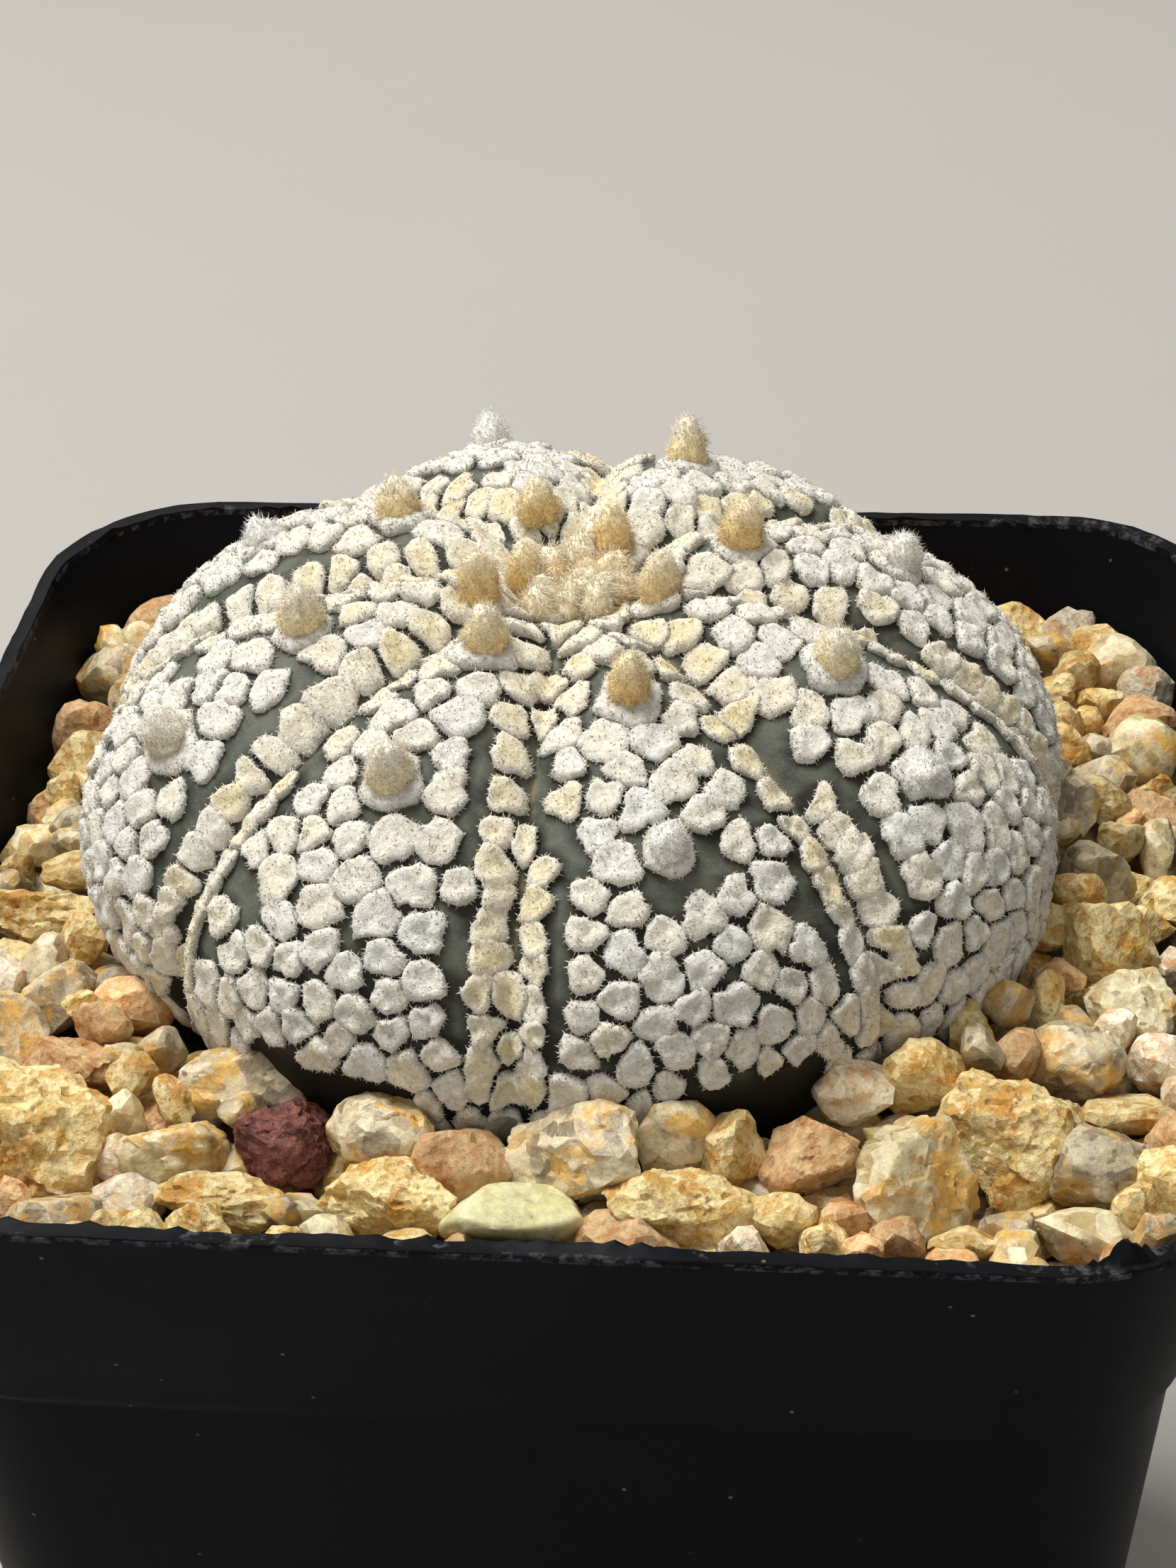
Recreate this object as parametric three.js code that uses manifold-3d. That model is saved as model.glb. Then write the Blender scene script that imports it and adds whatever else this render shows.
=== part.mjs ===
// Potted star cactus: a flattened, eight-ribbed cactus body covered in raised woolly flecks,
// standing in a square plastic nursery pot filled with coarse gravel.
// Millimetres, +Z up, origin at the centre of the pot's underside.
import * as THREE from "three";
import { ConvexGeometry } from "three/addons/geometries/ConvexGeometry.js";
import { ConvexHull } from "three/addons/math/ConvexHull.js";
import { mergeVertices } from "three/addons/utils/BufferGeometryUtils.js";
import Module from "manifold-3d";

const wasm = await Module();
wasm.setup();

const clearance = 0.3; // gap between pieces that touch

const pot = {
  side: 75, // outside, across the rim
  height: 70,
  wall: 1.0,
  cornerRadius: 10.5, // outside, at the rim
  cornerTightening: 0.45, // corner radius lost for each mm that the wall leans in
  bandHeight: 13.7,
  bandInset: 3.3, // lean of the rim band at its lower edge
  stepHeight: 0.7,
  bodyInset: 3.9, // wall just under the band
  footInset: 10, // wall at the underside
  floorUnderside: 1.6,
  floorTop: 3.0,
  footRingWidth: 2.6,
  centrePadRadius: 7,
  footGapWidth: 20,
  drainRadius: 3.1,
  drainOffset: 16.5,
  cornerSteps: 3,
};

const body = {
  equatorRadius: 27.4,
  crownHeight: 15.3, // equator to the top of the full dome
  baseDepth: 16.4, // equator to the underside
  equatorLevel: pot.height + 2.1,
  centreX: 0.15,
  centreY: 0.4,
  tiltX: THREE.MathUtils.degToRad(2.8),
  tiltY: THREE.MathUtils.degToRad(1.6),
  crownDent: 3.4,
  crownDentRadius: 5.0,
  ribs: 8,
  firstRib: THREE.MathUtils.degToRad(-68.7), // azimuth of the rib that faces the front
  ribSwell: 0.7,
  creaseDepth: 0.9,
  creaseHalfWidth: 1.5,
  creaseStart: 5, // distance from the crown's centre where the creases begin
};

const root = {
  neckRadius: 6.5,
  tipRadius: 1.6,
  depth: 20, // below the body's underside
};

const fleck = {
  spacing: 3.25,
  crownSpacing: 2.4,
  underSpacing: 8,
  lift: 0.62,
  liftRange: 0.2,
  crowning: 0.22, // extra height at a fleck's centre
  inset: 0.15, // share of a cell given to the bare gap at its edge
  lowest: THREE.MathUtils.degToRad(112), // flecks end here, measured from the crown
  padOffset: 1.5, // elongated pads beside each crease
  bareOffset: 0.95, // bare strip on the other side of it
  bareRoom: 0.62, // share of the spacing kept between a bare strip and the flecks beside it
  columnStep: 3.3,
  bareChance: 0.05,
};

// Areoles by rib: distance from the crown's centre along the rib, and sideways from its middle.
const areoles = [
  { rib: 0, along: 12.5, side: -0.1 },
  { rib: 0, along: 21.7, side: -0.5 },
  { rib: 1, along: 9.3, side: 0.1 },
  { rib: 1, along: 18.9, side: -0.2 },
  { rib: 2, along: 5.4, side: 0.4 },
  { rib: 2, along: 15.2, side: -0.5 },
  { rib: 2, along: 24.4, side: 1.7 },
  { rib: 3, along: 11.8, side: -0.7 },
  { rib: 3, along: 20.6, side: 0.9 },
  { rib: 4, along: 6.5, side: 0.2 },
  { rib: 4, along: 20.9, side: -0.4 },
  { rib: 5, along: 4.0, side: -0.4 },
  { rib: 5, along: 14.9, side: 0.5 },
  { rib: 6, along: 10.0, side: 0.0 },
  { rib: 6, along: 19.6, side: -0.2 },
  { rib: 7, along: 5.7, side: 0.3 },
  { rib: 7, along: 16.3, side: 0.5 },
  { rib: 7, along: 23.4, side: -1.7 },
];
const areole = { spacing: 3.4, collarLift: 0.75, shoulderLift: 2.2, tipLift: 3.2 };
const wool = { radius: 3.2, lift: 1.1, liftRange: 1.1 };

const gravel = {
  level: pot.height - 5.2, // mean surface far from the body
  mound: 2.6, // rise against the body
  moundReach: 9,
  frontRise: 2.3,
  fillDepth: 2.2, // solid fill under the mean surface
  fillRoughness: 1.1, // up and down scatter of the fill's surface
  spacing: 5.1,
  smallSpacing: 3.3,
  minRadius: 2.8,
  maxRadius: 4.2,
  smallRadius: 2.1,
  corners: 9, // points of one grain's hull
  fillCells: 12,
};

// Repeatable random numbers from 0 to 1 (the mulberry32 generator).
function randomSource(seed) {
  let state = seed >>> 0;
  return function next() {
    state = (state + 0x6d2b79f5) >>> 0;
    let mixed = state;
    mixed = Math.imul(mixed ^ (mixed >>> 15), mixed | 1);
    mixed ^= mixed + Math.imul(mixed ^ (mixed >>> 7), mixed | 61);
    return ((mixed ^ (mixed >>> 14)) >>> 0) / 4294967296;
  };
}

// A closed three.js geometry as a solid for joining and cutting.
function solidFrom(geometry) {
  const bare = new THREE.BufferGeometry();
  bare.setAttribute("position", geometry.getAttribute("position"));
  bare.setIndex(geometry.index);
  const merged = mergeVertices(bare, 1e-4);
  return new wasm.Manifold(
    new wasm.Mesh({
      numProp: 3,
      vertProperties: merged.attributes.position.array,
      triVerts: new Uint32Array(merged.index.array),
    }),
  );
}

// A solid's surface as a three.js geometry.
function geometryFrom(solid) {
  const mesh = solid.getMesh();
  const geometry = new THREE.BufferGeometry();
  const positions = new Float32Array(mesh.numVert * 3);
  for (let i = 0; i < mesh.numVert; i += 1) {
    const start = i * mesh.numProp;
    positions.set(mesh.vertProperties.subarray(start, start + 3), i * 3);
  }
  geometry.setAttribute("position", new THREE.BufferAttribute(positions, 3));
  geometry.setIndex(new THREE.BufferAttribute(mesh.triVerts, 1));
  geometry.computeVertexNormals();
  return geometry;
}

// A geometry from a list of corner points and a flat list of triangle indices.
function indexedGeometry(points, triangles) {
  const geometry = new THREE.BufferGeometry().setFromPoints(points);
  geometry.setIndex(triangles);
  return geometry;
}

// Adds the two triangles of each four-sided facet between two loops of vertex indices.
function bridgeLoops(triangles, outer, inner) {
  outer.forEach((a, i) => {
    const b = outer[(i + 1) % outer.length];
    const c = inner[(i + 1) % inner.length];
    triangles.push(a, b, c, a, c, inner[i]);
  });
}

// Adds the fan of triangles from a loop to one centre vertex.
function closeLoop(triangles, loop, centre) {
  loop.forEach((a, i) => triangles.push(a, loop[(i + 1) % loop.length], centre));
}

// The pot's rounded-square outline, leaning in by the given inset.
function potOutline(inset) {
  const radius = Math.max(pot.cornerRadius - pot.cornerTightening * inset, 1);
  const reach = pot.side / 2 - inset - radius;
  const shape = new THREE.Shape();
  shape.absarc(reach, reach, radius, 0, Math.PI / 2);
  shape.absarc(-reach, reach, radius, Math.PI / 2, Math.PI);
  shape.absarc(-reach, -reach, radius, Math.PI, 1.5 * Math.PI);
  shape.absarc(reach, -reach, radius, 1.5 * Math.PI, 2 * Math.PI);
  shape.closePath();
  const points = shape.getPoints(pot.cornerSteps);
  points.pop();
  return points;
}

// A solid skinned over pot outlines, given from the lowest level to the highest.
function potLoft(levels) {
  const points = [];
  const triangles = [];
  const loops = levels.map(({ inset, z }) =>
    potOutline(inset).map((p) => points.push(new THREE.Vector3(p.x, p.y, z)) - 1),
  );
  for (let i = 1; i < loops.length; i += 1) {
    bridgeLoops(triangles, loops[i - 1], loops[i]);
  }
  const lowest = points.push(new THREE.Vector3(0, 0, levels[0].z)) - 1;
  const highest = points.push(new THREE.Vector3(0, 0, levels[levels.length - 1].z)) - 1;
  closeLoop(triangles, [...loops[0]].reverse(), lowest);
  closeLoop(triangles, loops[loops.length - 1], highest);
  return solidFrom(indexedGeometry(points, triangles));
}

// Levels of the pot's wall from a floor height up past the rim, moved in by an extra inset.
function wallLevels(extra, floor, top) {
  const bandFoot = pot.height - pot.bandHeight;
  const stepFoot = bandFoot - pot.stepHeight;
  const leanPerMm = (pot.footInset - pot.bodyInset) / stepFoot;
  return [
    { inset: pot.footInset - leanPerMm * floor + extra, z: floor },
    { inset: pot.bodyInset + extra, z: stepFoot },
    { inset: pot.bandInset + extra, z: bandFoot },
    { inset: extra, z: top },
  ];
}

// The pot: tapered shell with a flared rim band, a raised floor on feet, and drain holes.
function makePot() {
  const shell = potLoft(wallLevels(0, 0, pot.height));
  const overTop = pot.height + 1;
  const cavity = potLoft([
    ...wallLevels(pot.wall, pot.floorTop, pot.height),
    { inset: pot.wall, z: overTop },
  ]);
  const recess = potLoft([
    { inset: pot.footInset + pot.footRingWidth, z: -1 },
    { inset: pot.footInset + pot.footRingWidth, z: pot.floorUnderside },
  ]);
  const pad = new THREE.CylinderGeometry(pot.centrePadRadius, pot.centrePadRadius, 6, 24);
  pad.rotateX(Math.PI / 2);
  let made = shell.subtract(cavity).subtract(recess.subtract(solidFrom(pad)));
  for (let quarter = 0; quarter < 2; quarter += 1) {
    const gap = new THREE.BoxGeometry(pot.side, pot.footGapWidth, 2 * pot.floorUnderside);
    gap.rotateZ((quarter * Math.PI) / 2);
    const padHole = new THREE.CylinderGeometry(pot.centrePadRadius, pot.centrePadRadius, 6, 24);
    padHole.rotateX(Math.PI / 2);
    made = made.subtract(solidFrom(gap).subtract(solidFrom(padHole)));
  }
  for (let corner = 0; corner < 4; corner += 1) {
    const drain = new THREE.CylinderGeometry(pot.drainRadius, pot.drainRadius, 12, 16);
    drain.rotateX(Math.PI / 2);
    drain.translate(pot.drainOffset, pot.drainOffset, 0);
    drain.rotateZ((corner * Math.PI) / 2);
    made = made.subtract(solidFrom(drain));
  }
  return geometryFrom(made);
}

// Radius and height of the body's outline at an angle from the crown, without ribs.
function bodyOutline(theta) {
  const r = body.equatorRadius * Math.sin(theta);
  const reach = theta < Math.PI / 2 ? body.crownHeight : body.baseDepth;
  const dent = body.crownDent * Math.exp(-((r / body.crownDentRadius) ** 2));
  return { r, z: reach * Math.cos(theta) - (theta < Math.PI / 2 ? dent : 0) };
}

// The direction that flecks rise in at a place on the body.
function bodyNormal(theta, phi) {
  const reach = theta < Math.PI / 2 ? body.crownHeight : body.baseDepth;
  const across = Math.sin(theta) / body.equatorRadius;
  const up = Math.cos(theta) / reach;
  return new THREE.Vector3(across * Math.cos(phi), across * Math.sin(phi), up).normalize();
}

// How far the skin lies under the smooth dome: ribs swell between narrow creases.
function ribSink(r, phi) {
  const step = (2 * Math.PI) / body.ribs;
  const turns = (phi - body.firstRib) / step;
  const fromRib = (turns - Math.round(turns)) * step;
  const fromCrease = r * (step / 2 - Math.abs(fromRib));
  const fade = THREE.MathUtils.smoothstep(r, body.creaseStart * 0.4, body.creaseStart * 2);
  const crease = body.creaseDepth * Math.exp(-((fromCrease / body.creaseHalfWidth) ** 2));
  const swell = 0.5 * body.ribSwell * (1 - Math.cos(body.ribs * fromRib));
  return fade * (crease + swell);
}

// A point of the ribbed skin.
function skinPoint(theta, phi) {
  const { r, z } = bodyOutline(theta);
  const point = new THREE.Vector3(r * Math.cos(phi), r * Math.sin(phi), z);
  return point.addScaledVector(bodyNormal(theta, phi), -ribSink(r, phi));
}

// Table along the outline: arc length from the crown, and the latitude on a sphere to which
// the outline maps with angles kept, so that cells drawn on the sphere keep their shape.
function makeOutlineTable() {
  const steps = 900;
  const edge = 0.004;
  const rows = [];
  let arc = bodyOutline(edge).r;
  let sum = 0;
  for (let i = 0; i <= steps; i += 1) {
    const theta = edge + ((Math.PI - 2 * edge) * i) / steps;
    const here = bodyOutline(theta);
    if (i > 0) {
      const before = bodyOutline(rows[i - 1].theta);
      const length = Math.hypot(here.r - before.r, here.z - before.z);
      arc += length;
      sum += (2 * length) / (here.r + before.r);
    }
    rows.push({ theta, arc, sum });
  }
  const middle = rows[steps / 2].sum;
  return rows.map((row) => ({ ...row, latitude: 2 * Math.atan(Math.exp(row.sum - middle)) }));
}
const outlineTable = makeOutlineTable();

// Reads one column of the outline table at a value of another column.
function readOutline(from, value, to) {
  const rows = outlineTable;
  let low = 0;
  let high = rows.length - 1;
  while (high - low > 1) {
    const mid = (low + high) >> 1;
    if (rows[mid][from] > value) {
      high = mid;
    } else {
      low = mid;
    }
  }
  const span = rows[high][from] - rows[low][from];
  const share = THREE.MathUtils.clamp((value - rows[low][from]) / span, 0, 1);
  return THREE.MathUtils.lerp(rows[low][to], rows[high][to], share);
}

// Distance wanted between neighbouring flecks at an angle from the crown.
function spacingAt(theta) {
  const near = THREE.MathUtils.smoothstep(theta, 0.1, 0.5);
  const under = THREE.MathUtils.smoothstep(theta, fleck.lowest - 0.1, fleck.lowest + 0.6);
  const upper = THREE.MathUtils.lerp(fleck.crownSpacing, fleck.spacing, near);
  return THREE.MathUtils.lerp(upper, fleck.underSpacing, under);
}

// Centres of all cells on the skin: areoles, pads and bare strips by the creases, then flecks.
function placeCells() {
  const random = randomSource(41);
  const cells = [];
  const step = (2 * Math.PI) / body.ribs;
  const add = (kind, theta, phi) => {
    cells.push({ kind, theta, phi, point: skinPoint(theta, phi) });
  };
  areoles.forEach(({ rib, along, side }) => {
    const theta = readOutline("arc", along, "theta");
    add("areole", theta, body.firstRib - rib * step + side / bodyOutline(theta).r);
  });
  const farthest = readOutline("theta", fleck.lowest, "arc");
  for (let rib = 0; rib < body.ribs; rib += 1) {
    const crease = body.firstRib - (rib + 0.5) * step;
    for (let along = 7.5; along < farthest; along += fleck.columnStep) {
      const theta = readOutline("arc", along + 0.5 * random(), "theta");
      const thetaBare = readOutline("arc", along + 0.5 * random(), "theta");
      add("pad", theta, crease - fleck.padOffset / bodyOutline(theta).r);
      add("bare", thetaBare, crease + fleck.bareOffset / bodyOutline(thetaBare).r);
    }
  }
  const tries = 30000;
  for (let i = 0; i < tries; i += 1) {
    const theta = Math.acos(1 - 2 * random());
    const phi = 2 * Math.PI * random();
    const point = skinPoint(theta, phi);
    const room = 0.84 * spacingAt(theta);
    const wanted = {
      fleck: room,
      pad: room,
      bare: fleck.bareRoom * room,
      areole: Math.max(room, 0.8 * areole.spacing),
    };
    const clear = cells.every((other) => other.point.distanceTo(point) > wanted[other.kind]);
    if (clear) {
      const covered = theta < fleck.lowest;
      const kind = covered && random() > fleck.bareChance ? "fleck" : "bare";
      cells.push({ kind, theta, phi, point });
    }
  }
  return cells;
}

// The direction on the unit sphere that stands for a place on the body.
function sphereDirection({ theta, phi }) {
  const latitude = readOutline("theta", theta, "latitude");
  return new THREE.Vector3().setFromSphericalCoords(1, latitude, phi);
}

// Corner points shared by neighbouring cells, and each cell's loop of corners.
function tileCells(cells) {
  const directions = cells.map(sphereDirection);
  const indexOf = new Map(directions.map((direction, i) => [direction, i]));
  const hull = new ConvexHull().setFromPoints(directions);
  const corners = [];
  const loops = cells.map(() => []);
  hull.faces.forEach((face) => {
    const spherical = new THREE.Spherical().setFromVector3(face.normal);
    const theta = readOutline("latitude", spherical.phi, "theta");
    const point = skinPoint(theta, spherical.theta);
    let corner = corners.findIndex((other) => other.distanceTo(point) < 0.25);
    if (corner < 0) {
      corner = corners.push(point) - 1;
    }
    let edge = face.edge;
    do {
      loops[indexOf.get(edge.head().point)].push({ corner, direction: face.normal });
      edge = edge.next;
    } while (edge !== face.edge);
  });
  const ordered = loops.map((loop, i) => orderLoop(loop, directions[i]));
  return { corners, loops: ordered };
}

// One cell's corners in turn round its centre, anticlockwise from outside, each one once.
function orderLoop(loop, centre) {
  const east = new THREE.Vector3(0, 1, 0).cross(centre).normalize();
  const north = new THREE.Vector3().crossVectors(centre, east);
  const turned = loop.map(({ corner, direction }) => ({
    corner,
    angle: Math.atan2(direction.dot(north), direction.dot(east)),
  }));
  turned.sort((a, b) => a.angle - b.angle);
  const names = turned.map(({ corner }) => corner);
  return names.filter((corner, i) => corner !== names[(i + 1) % names.length]);
}

// The rings that raise one cell: share of the way to its centre, and height over the skin.
function cellRings(cell, random) {
  const nearCrown = Math.hypot(cell.point.x, cell.point.y) < wool.radius;
  if (cell.kind === "areole") {
    return {
      rings: [
        { share: 0.1, lift: areole.collarLift },
        { share: 0.22, lift: areole.collarLift + 0.1 },
        { share: 0.36, lift: areole.shoulderLift },
      ],
      top: areole.tipLift,
    };
  }
  if (nearCrown) {
    const lift = wool.lift + wool.liftRange * random();
    return { rings: [{ share: 0.2, lift }], top: lift + 0.5 };
  }
  if (cell.kind === "bare") {
    return { rings: [], top: 0 };
  }
  const lift = fleck.lift + fleck.liftRange * random();
  return { rings: [{ share: fleck.inset, lift }], top: lift + fleck.crowning };
}

// The body's surface as raised cells over shared corners, in the body's own frame.
function makeSkin() {
  const random = randomSource(97);
  const cells = placeCells();
  const { corners, loops } = tileCells(cells);
  const points = [...corners];
  const triangles = [];
  cells.forEach((cell, i) => {
    const normal = bodyNormal(cell.theta, cell.phi);
    const { rings, top } = cellRings(cell, random);
    let outer = loops[i];
    rings.forEach(({ share, lift }) => {
      const inner = loops[i].map((corner) => {
        const point = corners[corner].clone().lerp(cell.point, share);
        return points.push(point.addScaledVector(normal, lift)) - 1;
      });
      bridgeLoops(triangles, outer, inner);
      outer = inner;
    });
    const centre = points.push(cell.point.clone().addScaledVector(normal, top)) - 1;
    closeLoop(triangles, outer, centre);
  });
  return solidFrom(indexedGeometry(points, triangles));
}

// A solid turned round the body's axis from radius and height pairs, lowest first.
function turned(profile, sides) {
  const geometry = new THREE.LatheGeometry(
    profile.map(([r, z]) => new THREE.Vector2(r, z)),
    sides,
  );
  geometry.rotateX(Math.PI / 2);
  return geometry;
}

// The taproot's outline, moved out by a margin.
function rootProfile(margin) {
  const top = -0.75 * body.baseDepth;
  const tip = -body.baseDepth - root.depth - margin;
  return [
    [0, tip],
    [root.tipRadius + margin, tip],
    [0.55 * root.neckRadius + margin, -body.baseDepth - 0.45 * root.depth],
    [root.neckRadius + margin, -body.baseDepth],
    [root.neckRadius + margin, top],
    [0, top],
  ];
}

// The cactus: ribbed body with its flecks, areoles and crown wool, and its taproot.
function makeCactus() {
  const taproot = solidFrom(turned(rootProfile(0), 12));
  return geometryFrom(makeSkin().add(taproot));
}

// The matrix that stands the body, slightly tilted, in the pot.
function bodyPlace() {
  const matrix = new THREE.Matrix4();
  matrix.makeRotationFromEuler(new THREE.Euler(body.tiltX, body.tiltY, 0));
  matrix.setPosition(body.centreX, body.centreY, body.equatorLevel);
  return matrix;
}

// The plain hole that the body and its root stand in.
function makeHole() {
  const reliefMargin = fleck.lift + fleck.liftRange + fleck.crowning + clearance;
  const profile = [];
  for (let degrees = 180; degrees >= 90; degrees -= 6) {
    const theta = THREE.MathUtils.degToRad(degrees);
    const { r, z } = bodyOutline(theta);
    const covered = THREE.MathUtils.smoothstep(-theta, -fleck.lowest - 0.35, -fleck.lowest);
    const margin = THREE.MathUtils.lerp(clearance + 0.15, reliefMargin, covered);
    profile.push([Math.max(r + margin * Math.sin(theta), 0), z + margin * Math.cos(theta)]);
  }
  const rim = profile[profile.length - 1][0];
  profile.push([rim, body.crownHeight]);
  profile.push([0, body.crownHeight]);
  const bowl = turned(profile, 40);
  bowl.applyMatrix4(bodyPlace());
  const shaft = turned(rootProfile(clearance + 0.1), 12);
  shaft.applyMatrix4(bodyPlace());
  return solidFrom(bowl).add(solidFrom(shaft));
}

// Height of the gravel's mean surface: mounded to the body and higher at the front.
function gravelHeight(x, y) {
  const fromBody = Math.hypot(x - body.centreX, y - body.centreY) - body.equatorRadius;
  const mound = gravel.mound * (1 - THREE.MathUtils.smoothstep(fromBody, 0, gravel.moundReach));
  const front = gravel.frontRise * THREE.MathUtils.smoothstep(-y, 0, 0.4 * pot.side);
  return gravel.level + mound + front;
}

// The solid fill under the grains, with a rough top that follows the gravel's surface.
function makeFill(random) {
  const bottom = pot.floorTop + clearance;
  const cells = gravel.fillCells;
  const box = new THREE.BoxGeometry(pot.side, pot.side, 1, cells, cells, 1);
  box.deleteAttribute("normal");
  box.deleteAttribute("uv");
  const geometry = mergeVertices(box);
  const positions = geometry.getAttribute("position");
  for (let i = 0; i < positions.count; i += 1) {
    const rough = gravel.fillRoughness * (2 * random() - 1);
    const top = gravelHeight(positions.getX(i), positions.getY(i)) - gravel.fillDepth + rough;
    positions.setZ(i, positions.getZ(i) > 0 ? top : bottom);
  }
  return solidFrom(geometry);
}

// One angular grain: the hull of scattered points, stretched and turned.
function makeGrain(random, radius, place) {
  const points = [];
  for (let i = 0; i < gravel.corners; i += 1) {
    const height = 1 - (2 * (i + 0.5)) / gravel.corners;
    const turn = i * 2.4 + 0.9 * random();
    const across = Math.sqrt(1 - height * height);
    const point = new THREE.Vector3(across * Math.cos(turn), across * Math.sin(turn), height);
    points.push(point.multiplyScalar(radius * (0.86 + 0.22 * random())));
  }
  const grain = new ConvexGeometry(points);
  grain.scale(1.1 - 0.3 * random(), 1.1 - 0.3 * random(), 0.95 - 0.25 * random());
  grain.rotateX(Math.PI * random());
  grain.rotateZ(Math.PI * random());
  grain.translate(place.x, place.y, place.z);
  return solidFrom(grain);
}

// Places for grains that keep the given distance from each other and from the body's foot.
function placeGrains(random, spacing, kept, tries) {
  const reach = pot.side / 2 - pot.wall - 1.6;
  const nearest = 0.86 * body.equatorRadius;
  for (let i = 0; i < tries; i += 1) {
    const x = reach * (2 * random() - 1);
    const y = reach * (2 * random() - 1);
    const clear = kept.every((other) => Math.hypot(other.x - x, other.y - y) > spacing);
    const outside = Math.hypot(x - body.centreX, y - body.centreY) > nearest;
    if (clear && outside) {
      kept.push({ x, y, z: gravelHeight(x, y), spacing });
    }
  }
  return kept;
}

// The gravel: fill and grains in one bed, cut clear of the pot and of the body.
function makeGravelBed() {
  const random = randomSource(23);
  const places = placeGrains(random, gravel.spacing, [], 6000);
  placeGrains(random, gravel.smallSpacing, places, 6000);
  let bed = makeFill(random);
  places.forEach(({ x, y, z, spacing }) => {
    const large = spacing === gravel.spacing;
    const spread = gravel.maxRadius - gravel.minRadius;
    const radius = large ? gravel.minRadius + spread * random() : gravel.smallRadius;
    const sunk = z - 0.45 * radius + 0.7 * random();
    bed = bed.add(makeGrain(random, radius, new THREE.Vector3(x, y, sunk)));
  });
  const margin = pot.wall + clearance;
  const inside = potLoft([
    ...wallLevels(margin, pot.floorTop + clearance, pot.height),
    { inset: margin, z: pot.height + 6 },
  ]);
  return geometryFrom(keepLargest(bed.intersect(inside).subtract(makeHole())));
}

// The largest connected piece of a solid, without loose scraps.
function keepLargest(solid) {
  const pieces = solid.decompose();
  pieces.sort((a, b) => b.volume() - a.volume());
  return pieces[0];
}

const potMaterial = new THREE.MeshStandardMaterial({
  color: 0x1a1c1e,
  roughness: 0.6,
  metalness: 0,
});
const gravelMaterial = new THREE.MeshStandardMaterial({
  color: 0xcdb88e,
  roughness: 0.85,
  metalness: 0,
});
const cactusMaterial = new THREE.MeshStandardMaterial({
  color: 0xd6d3c6,
  roughness: 0.95,
  metalness: 0,
});

const pottedCactus = new THREE.Group();

const potMesh = new THREE.Mesh(makePot(), potMaterial);
potMesh.name = "pot";
pottedCactus.add(potMesh);

const gravelMesh = new THREE.Mesh(makeGravelBed(), gravelMaterial);
gravelMesh.name = "gravel_bed";
pottedCactus.add(gravelMesh);

const cactusMesh = new THREE.Mesh(makeCactus(), cactusMaterial);
cactusMesh.name = "cactus";
cactusMesh.rotation.set(body.tiltX, body.tiltY, 0);
cactusMesh.position.set(body.centreX, body.centreY, body.equatorLevel);
pottedCactus.add(cactusMesh);

export default pottedCactus;
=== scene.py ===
"""Potted star cactus: the finish of a flecked, eight-ribbed cactus in a square pot of gravel.

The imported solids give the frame. This script replaces each of them with a finer piece of the same
form: the ribbed skin with its felt flecks, areoles and apex wool, the loose grains of the gravel,
and the moulded pot. Sizes are in millimetres and turned to metres where a mesh is made.
"""

import logging
import math
from collections.abc import Callable, Iterable, Sequence
from dataclasses import dataclass, field, fields
from enum import Enum
from functools import partial
from typing import Any

import bmesh
import bpy
import numpy as np
from bmesh.types import BMesh
from bpy.types import Material, Mesh, Node, NodeSocket, NodeTree, Object
from mathutils import Euler, Matrix, Vector, noise
from numpy.random import Generator


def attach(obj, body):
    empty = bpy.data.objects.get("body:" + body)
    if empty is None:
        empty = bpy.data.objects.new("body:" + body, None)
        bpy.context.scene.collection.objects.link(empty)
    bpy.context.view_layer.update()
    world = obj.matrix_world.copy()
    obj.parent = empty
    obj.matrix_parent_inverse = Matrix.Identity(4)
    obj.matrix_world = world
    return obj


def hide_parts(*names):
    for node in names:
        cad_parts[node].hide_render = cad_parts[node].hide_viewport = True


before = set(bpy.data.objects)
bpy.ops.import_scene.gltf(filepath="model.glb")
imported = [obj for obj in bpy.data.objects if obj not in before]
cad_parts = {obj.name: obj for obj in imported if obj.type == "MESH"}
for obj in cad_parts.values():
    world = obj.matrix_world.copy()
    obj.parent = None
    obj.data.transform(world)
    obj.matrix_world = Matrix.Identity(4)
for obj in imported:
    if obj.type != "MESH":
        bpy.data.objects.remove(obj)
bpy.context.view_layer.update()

LOG = logging.getLogger("potted_cactus")
MM = 0.001
BODY = "root"
PHOTO_WIDE = 1659
PHOTO_TALL = 2212

# Kinds of node. A mix of colours has its share in socket 0, its colours in 6 and 7, its result in 2.
ATTRIBUTE = "ShaderNodeAttribute"
BUMP = "ShaderNodeBump"
CRYSTALS = "ShaderNodeTexVoronoi"
MATH = "ShaderNodeMath"
MIX = "ShaderNodeMix"
NAMED = "GeometryNodeInputNamedAttribute"
NOISE = "ShaderNodeTexNoise"
RANGE = "ShaderNodeMapRange"
VECTOR_MATH = "ShaderNodeVectorMath"

Array = np.ndarray
Face = tuple[int, ...]


def linear(hex_colour: str) -> tuple[float, ...]:
    """Turns an sRGB hex colour into linear red, green and blue, with an alpha of one."""
    values = [int(hex_colour[i : i + 2], 16) / 255 for i in (1, 3, 5)]
    return (*(v / 12.92 if v <= 0.04045 else ((v + 0.055) / 1.055) ** 2.4 for v in values), 1.0)


def per_metre(size_mm: float) -> float:
    """Gives the texture scale whose features have the size given in millimetres."""
    return 1.0 / (size_mm * MM)


def smoothstep(low: float, high: float, values: Any) -> Any:
    """Eases values from 0 at low to 1 at high."""
    share = np.clip((values - low) / (high - low), 0.0, 1.0)
    return share * share * (3.0 - 2.0 * share)


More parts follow.
